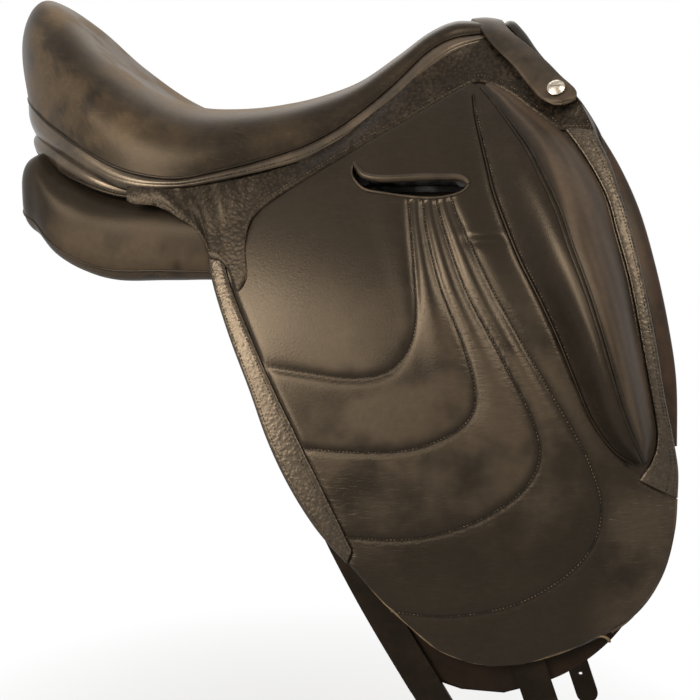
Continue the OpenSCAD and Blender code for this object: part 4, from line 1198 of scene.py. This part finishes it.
# Flap edges: the bottom is left as cut and shows raw tan, and the front below the band is dyed. Both
# are burnished round, so each is a slim bead along the leather's rim.
bottom_edge = [
    (98, -270), (122, -297), (146, -318), (170, -337), (193, -346), (212, -349), (228, -348), (244, -346),
    (262, -341), (278, -335), (290, -329), (297, -325), (304, -324), (309, -326), (311, -329)]
front_hem = [(362, -212), (360, -240), (350, -277), (329, -307), (312, -321)]
tan_pale = (0.26, 0.18, 0.10)
tan_edge = calf("tan_edge", raw_tan, tan_pale, 60.0, 1.0, 0.5)
cut_r, cut_drop = 1.2, 0.6
hem_r, hem_drop = 1.0, 0.4
flap_rims = (
    ("flap_edge", bottom_edge, cut_r, cut_drop, tan_edge),
    ("flap_hem", front_hem, hem_r, hem_drop, strap_calf))
for name, line, radius, drop, finish in flap_rims:
    path = [on_side(p.x, p.y, flap_t - drop) for p in curve(line, 120)]
    rim = tube(name + "_right", path, radius, 8, OUTWARD)
    rim.data.materials.append(finish)
    for side, piece in both_sides(rim):
        lifts(piece, side)

# Slot bindings: the slot that the stirrup leather passes through has a rolled upper lip, thickest in
# the middle, and a narrow bound lower edge. Both are thin calf turned over the cut and sewn.
lip_proud = 0.6
lip_r = 3.6
lip_end = 1.3
lip_full = 0.6
binding_sunk, binding_r = 0.2, 1.3


def lip_taper(v):
    return mix(lip_end, lip_r, math.sin(math.pi * v) ** lip_full)


lip_path = [on_puff(p, lip_proud) for p in curve(slot_upper, 70)]
binding_path = [on_puff(p, -binding_sunk) for p in curve(slot_lower, 80)]
lip = tube("slot_lip_right", lip_path, lip_taper, 14, OUTWARD)
binding = tube("slot_binding_right", binding_path, binding_r, 8, OUTWARD)
for piece in (lip, binding):
    piece.data.materials.append(strap_calf)
    for side, one in both_sides(piece):
        lifts(one, side)

# Flap bands: pebbled leather turned over the flap's rear edge, and along its front edge down to a
# hook below the thigh block. Both are lightly padded and sewn down along their sides.
band_rise = 3.0
band_wrap = 1.2
band_flat = 0.7
band_full = 0.6
band_gap = 0.2
band_turned = 0.6
band_proud = 0.25


def bent(value, power):
    """A sine or cosine drawn out towards 1, which squares off a round."""
    return math.copysign(abs(value) ** power, value)


def band(name, rear, front, rows):
    def place_row(v):
        return on_curve(rear, 1 - v), on_curve(front, 1 - v)

    def place_point(row, s, v):
        angle = 2 * math.pi * s
        c, k = math.cos(angle), math.sin(angle)
        p = mix(row[0], row[1], 0.5 + 0.5 * bent(c, band_flat))
        over = band_gap + band_rise * abs(k) ** band_full
        return on_side(p.x, p.y, flap_t + (over if k > 0 else -band_turned * abs(k)))

    return closed(name, 20, rows, place_row, place_point)


band_hide = pebbled("band_hide", black_brown, rubbed_brown, 0.3, 0.34, 0.6)
rear_edge = [(x - band_wrap, z) for x, z in [(-46, -19), (-38, -44)] + flap_rear[1:7]]
rear_band = band("rear_band_hide_right", rear_edge, rear_band_in, 90)
front_band_out = [
    (288, 104), (305, 68), (314, 41), (324, 8), (333, -31), (340, -65), (346, -97), (351, -128),
    (358, -160), (363, -188), (363, -211)]
band_top, hook_tip = (263, 100), (331, -196)
block_clear = 2
front_band_in = [band_top] + [(x + block_clear, z) for x, z in block_front[8::-1]] + [hook_tip]
front_band = band("front_band_hide_right", front_band_in, front_band_out, 110)
for piece, node in ((rear_band, "rear_band_"), (front_band, "front_band_")):
    piece.data.materials.append(band_hide)
    for side, one in both_sides(piece):
        lifts(one, side)
        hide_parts(node + side)


def band_seam(rear, front, share):
    c = abs(2 * share - 1) ** (1 / band_flat)
    high = flap_t + band_gap + band_rise * math.sqrt(1 - c * c) ** band_full
    seam = [mix(on_curve(rear, t), on_curve(front, t), share) for t in shares(160)]
    return [on_side(p.x, p.y, high + band_proud) for p in seam]


rear_rows, front_rows = (0.2, 0.8), (0.16, 0.68, 0.88)
rear_seams = [band_seam(rear_edge, rear_band_in, share) for share in rear_rows]
front_seams = [band_seam(front_band_in, front_band_out, share) for share in front_rows]
sewn("band_stitches", rear_seams + front_seams, lifts)

# Thigh blocks: a stuffed block on each flap, covered in smooth leather, with a piped ridge along
# it. The rear face is hollowed for the rider's thigh, and the front face is rubbed in streaks.
block_h = 36.0
block_edge = 1.5
ridge_at = 0.52
rear_hollow = 1.3
front_round = 0.8
block_sunk = 0.3
face_share = 0.75
swell_steps = (0.16, 0.45, 0.72, 0.90, 1.0, 1.0, 0.95, 0.86, 0.72, 0.58, 0.42, 0.26, 0.12)
block_swell = list(enumerate(swell_steps))


def ridge(u):
    if u < ridge_at:
        return math.sin(math.pi / 2 * u / ridge_at) ** rear_hollow
    return max(0.0, math.sin(math.pi / 2 * (1 - u) / (1 - ridge_at))) ** front_round


def block_point(u, v, lift=0.0):
    p = mix(on_curve(block_rear, v), on_curve(block_front, v), u)
    swell = on_curve(block_swell, v).y
    return on_side(p.x, p.y, on_flap + block_edge + (block_h - block_edge) * ridge(u) * swell + lift)


def block_ring(row, s, v):
    if s < face_share:
        return block_point(1 - s / face_share, v)
    u = (s - face_share) / (1 - face_share)
    p = mix(on_curve(block_rear, v), on_curve(block_front, v), u)
    return on_side(p.x, p.y, on_flap - block_sunk)


streaks_across = 11
streaks_down = 0.014
streak_soft = 0.12
streak_span, streak_depth = (0.3, 0.7), (0.3, 0.9)


def block_streak(p):
    back = x_at(block_rear, p.z)
    u = (p.x - back) / max(x_at(block_front, p.z) - back, 1.0)
    streak = noise.noise(Vector((u * streaks_across, p.z * streaks_down, 3.0))) * 0.5 + 0.5
    return smooth(ridge_at, ridge_at + streak_soft, u) * mix(*streak_depth, smooth(*streak_span, streak))


block_streaked = (0.086, 0.061, 0.043)
block_calf = calf("block_calf", black_brown, block_streaked, 16.0, 0.1, 0.30, mask="rubbed")
block = closed("thigh_block_calf_right", 64, 150, lambda v: v, block_ring)
mark(block, "rubbed", block_streak)
block.data.materials.append(block_calf)
for side, piece in both_sides(block):
    lifts(piece, side)
    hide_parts("thigh_block_" + side, "block_top_" + side)
piping_apart = 0.022
piping_r = 1.3
piping_proud = 0.3
block_seam_r = 1.0
block_sewn_at = 0.035
block_cords = (
    ("block_piping_rear", ridge_at - piping_apart, piping_r),
    ("block_piping_front", ridge_at + piping_apart, piping_r),
    ("block_seam", 0.0, block_seam_r))
for name, place_u, radius in block_cords:
    cord_path = [block_point(place_u, t, piping_proud) for t in shares(120)]
    cord = tube(name + "_right", cord_path, radius, 8, OUTWARD)
    cord.data.materials.append(piping_calf)
    for side, piece in both_sides(cord):
        lifts(piece, side)
block_thread = [block_point(block_sewn_at, t, thread_proud) for t in shares(140)[40:136]]
sewn("block_stitches", [block_thread], lifts)

# Panels: two wool stuffed cushions under the tree, covered in soft dark leather and laced in. Each
# has a gusset at the back, sewn in with a piped seam.
panel_stations = [
    (-256, 5, 41, 5, 0.05), (-255, 17, 41, 15, 0.06), (-252, 28, 41, 24, 0.06), (-247, 36, 41, 31, 0.07),
    (-239, 43, 41, 37, 0.08), (-227, 48, 39, 41, 0.11), (-207, 53, 24, 41, 0.17), (-180, 55, 12, 41, 0.22),
    (-145, 55, 4, 41, 0.25), (-90, 56, 3, 39, 0.25), (-30, 57, 2, 36, 0.31), (40, 56, -8, 38, 0.50),
    (100, 50, -6, 33, 0.60), (150, 44, 0, 29, 0.68), (200, 40, 8, 25, 0.66), (240, 38, 12, 24, 0.56),
    (260, 34, 14, 21, 0.52), (272, 22, 16, 13, 0.52)]
gullet_half, panel_round = 30.0, 0.62
panel_rear_in, panel_tail = 14.0, (225.0, 31.0)
panel_contact, panel_under = -40.0, 0.6


def panel_row(v):
    x, half, middle, height, fall = on_curve(panel_stations, v)
    inner = gullet_half + panel_rear_in * max(0.0, (-x - panel_tail[0]) / panel_tail[1]) ** 2
    return x, half, middle, height, fall, inner


def panel_point(row, s, v):
    x, half, middle, height, fall, inner = row
    angle = 2 * math.pi * s
    c, h = bent(math.cos(angle), panel_round), bent(math.sin(angle), panel_round)
    z = middle + height * h - fall * half * c
    y = inner + half * (1 + c)
    if x > panel_contact:
        y = min(y, side_y(x, z) + sweat_out - sweat_t - panel_under)
    return Vector((x, -y, z))


panel_dye = (0.013, 0.010, 0.0072)
# Tan of the panel's lower part: wear, and a painted highlight
panel_tan_and_highlight = (0.046, 0.034, 0.023)
panel_calf = calf("panel_calf", panel_dye, panel_tan_and_highlight, 12.0, 0.2, 0.40, mask="rubbed", shine=0.15)
panel = closed("panel_cushion_right", 72, 150, panel_row, panel_point)
# Painted shadow: the upper part of the panel keeps the dark dye as the skirt's shadow; the lower part is
# painted tan for wear and as a painted highlight
panel_shadow_fade = (22, -6)
panel_cloud = 0.02
panel_smudge = (0.34, 0.6)


# Painted shadow above, painted highlight and wear below, broken by smudges
def panel_shadow_and_rub(p):
    return smooth(*panel_shadow_fade, p.z) * smooth(*panel_smudge, clouds(p, panel_cloud, 5))


mark(panel, "rubbed", panel_shadow_and_rub)
panel.data.materials.append(panel_calf)
gusset_angle = math.radians(-23)
gusset_rows = (0.035, 0.72)
gusset_piping_r = 1.1
gusset_share = gusset_angle / (2 * math.pi)
gusset_seam = []
for t in shares(160):
    v = mix(*gusset_rows, t)
    gusset_seam.append(panel_point(panel_row(v), gusset_share, v))


def stuffed(piece, node):
    """Fixes a stuffed piece under the saddle on both sides, in place of its plain solid."""
    for side, one in both_sides(piece):
        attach(one, "saddle")
        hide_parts(node + side)


def panel_piping(name, path, radius):
    cord = tube(name + "_right", path, radius, 8)
    cord.data.materials.append(piping_calf)
    for side, piece in both_sides(cord):
        on_tree(piece, side)


stuffed(panel, "panel_")
panel_piping("panel_gusset_piping", gusset_seam, gusset_piping_r)

# Panel rolls: a slim roll of smooth leather under each side of the cantle, between border and panel.
# Its ends run out thin under the border, and a piped and stitched seam runs along it.
roll_rows = (8.6, 13.6)
roll_steps = 60
roll_r = 9.0
roll_end = 0.35
roll_gap = 0.6
roll_tuck = (12.0, 3.0)
roll_tuck_over = 7 / 30
roll_proud = 0.6
roll_piping_r = 1.7
roll_piping_way, roll_thread_way = (0.5, -0.866), (0.83, -0.56)


def roll_taper(t):
    return roll_r * mix(roll_end, 1.0, math.sin(math.pi * t))


roll_path = []
roll_seam = []
roll_sewn = []
for t in shares(roll_steps):
    u = mix(*roll_rows, t)
    tuck = mix(*roll_tuck, smooth(0, roll_tuck_over, t)) * rim_in(u)
    drop = Vector((0, 0, roll_gap + roll_taper(t)))
    p = across(on_curve(border_low, u / seat_last) + tuck - drop)
    out, up = across(-rim_in(u)), Vector((0, 0, 1))
    roll_path.append(p)
    roll_seam.append(p + (roll_taper(t) + roll_proud) * (roll_piping_way[0] * out + roll_piping_way[1] * up))
    roll_sewn.append(p + roll_taper(t) * (roll_thread_way[0] * out + roll_thread_way[1] * up))
roll = tube("panel_roll_calf_right", roll_path, roll_taper, 24)
roll.data.materials.append(border_calf)
stuffed(roll, "panel_roll_")
panel_piping("panel_roll_piping", roll_seam, roll_piping_r)
sewn("roll_stitches", [roll_sewn], on_tree)

# Panel wings: a padded leaf at the front of each panel, covered in soft leather that is rubbed
# reddish. It lies under the sweat flap, and its edge shows past the front band.
wing_rear = [(274, 85), (272, 46), (272, 8), (268, -40), (272, -90), (278, -140), (284, -178)]
wing_front = [(297, 97), (317, 62), (334, 22), (347, -25), (357, -72), (364, -120), (365, -174)]
wing_out = -7.9
wing_t = 15.0
wing_round = 0.6
wing_ends = (0.04, 0.96)


def wing_row(v):
    return on_curve(wing_rear, v), on_curve(wing_front, v)


def wing_point(row, s, v):
    angle = 2 * math.pi * s
    c, k = bent(math.cos(angle), wing_round), bent(math.sin(angle), wing_round)
    p = mix(row[0], row[1], 0.5 + 0.5 * c)
    taper = math.sqrt(math.sin(math.pi * mix(*wing_ends, v)))
    return on_side(p.x, p.y, wing_out - wing_t / 2 * (1 - k * taper))


wing_dye = (0.020, 0.014, 0.011)
wing_edge_brown = (0.11, 0.062, 0.04)
wing_calf = calf("wing_calf", wing_dye, wing_edge_brown, 22.0, 0.6, 0.36)
wing = closed("panel_wing_calf_right", 40, 90, wing_row, wing_point)
wing.data.materials.append(wing_calf)
stuffed(wing, "panel_wing_")

# Floor, light and camera: a pale floor that fades to white away from the saddle. A soft lamp and a
# tall one stand at the camera's left, weaker ones over its shoulder, at its right and behind the
# seat, and all round is white.
def seen_directly(graph):
    path = add(graph, "LightPath").outputs
    most = add(graph, "Math", {0: path["Is Camera Ray"], 1: path["Is Glossy Ray"]}, operation="MAXIMUM")
    most = add(graph, "Math", {0: most.outputs["Value"], 1: path["Is Transmission Ray"]}, operation="MAXIMUM")
    return most.outputs["Value"]


floor_z, floor_half = -0.66, 6.0
floor_pale, floor_dull = (0.60, 0.60, 0.60), (0.56, 0.56, 0.56)
floor_paint, graph, socket = new_finish("floor_paint", {"Roughness": 0.9})
place = add(graph, "TexCoord").outputs["Object"]
mottle = add(graph, "TexNoise", {"Vector": place, "Scale": 3.0})
ramp(graph, mottle.outputs["Fac"], [(0.0, floor_dull), (1.0, floor_pale)], socket["Base Color"])
away = add(graph, "VectorMath", {0: place}, operation="LENGTH")
share = add(graph, "MapRange", {
    "Value": away.outputs["Value"], "From Min": 0.66, "From Max": 0.9, "To Min": 0.7})
fade = add(graph, "Math", {0: share.outputs["Result"], 1: seen_directly(graph)}, operation="MULTIPLY")
glow = add(graph, "Emission", {"Strength": 1.0})
paint = graph.nodes["Principled BSDF"].outputs["BSDF"]
both = add(graph, "MixShader", {"Fac": fade.outputs["Value"], 1: paint, 2: glow.outputs["Emission"]})
graph.links.new(both.outputs["Shader"], graph.nodes["Material Output"].inputs["Surface"])
bm = bmesh.new()
floor_at = Matrix.Translation((0, 0, floor_z))
bmesh.ops.create_grid(bm, x_segments=1, y_segments=1, size=floor_half, matrix=floor_at)
floor = finished("floor", bm)
floor.data.materials.append(floor_paint)
floor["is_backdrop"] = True
lamp_tone = (1.0, 0.92, 0.82)


def lamp(name, size, power, at, target):
    light = bpy.data.lights.new(name, "AREA")
    light.shape = "RECTANGLE"
    light.size, light.size_y = size
    light.energy = power
    light.color = lamp_tone
    made = bpy.data.objects.new(name, light)
    made.location = at
    made.rotation_euler = (Vector(target) - Vector(at)).to_track_quat("-Z", "Y").to_euler()
    bpy.context.collection.objects.link(made)


lamp("key_softbox", (0.55, 0.45), 15.0, (-0.76, -1.29, 0.72), (0.1, -0.15, -0.08))
lamp("tall_softbox", (0.35, 0.7), 11.0, (-0.72, -1.17, 0.19), (0.2, -0.15, -0.1))
lamp("front_softbox", (0.5, 0.4), 5.0, (-0.26, -1.53, 0.72), (0.1, -0.15, -0.08))
lamp("side_softbox", (0.4, 0.5), 10.0, (1.0, -0.9, 0.95), (0.25, -0.15, 0.0))
lamp("top_softbox", (1.2, 0.8), 5.0, (-0.2, 0.9, 1.1), (-0.05, 0.0, 0.12))
world = bpy.data.worlds.new("studio")
bpy.context.scene.world = world
world.use_nodes = True
graph = world.node_tree
world_light = 0.08
level = add(graph, "MapRange", {"Value": seen_directly(graph), "To Min": world_light, "To Max": 1.0})
graph.nodes["Background"].inputs["Color"].default_value = (1.0, 1.0, 1.0, 1.0)
graph.links.new(level.outputs["Result"], graph.nodes["Background"].inputs["Strength"])

camera = bpy.data.objects.new("camera", bpy.data.cameras.new("camera"))
camera.data.sensor_width = 36.0
camera.data.lens = 50.0
camera.location = (0.232106, -0.994652, 0.020534)
view_axis = Vector((-0.17196, 0.97522, -0.13917))
camera.rotation_euler = view_axis.to_track_quat("-Z", "Y").to_euler()
bpy.context.collection.objects.link(camera)
bpy.context.scene.camera = camera
bpy.context.scene.view_settings.view_transform = "Standard"

boxes = {"cad": cad_box, "visual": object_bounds()}
{name: [list(map(float, corner)) for corner in box] for name, box in boxes.items()}
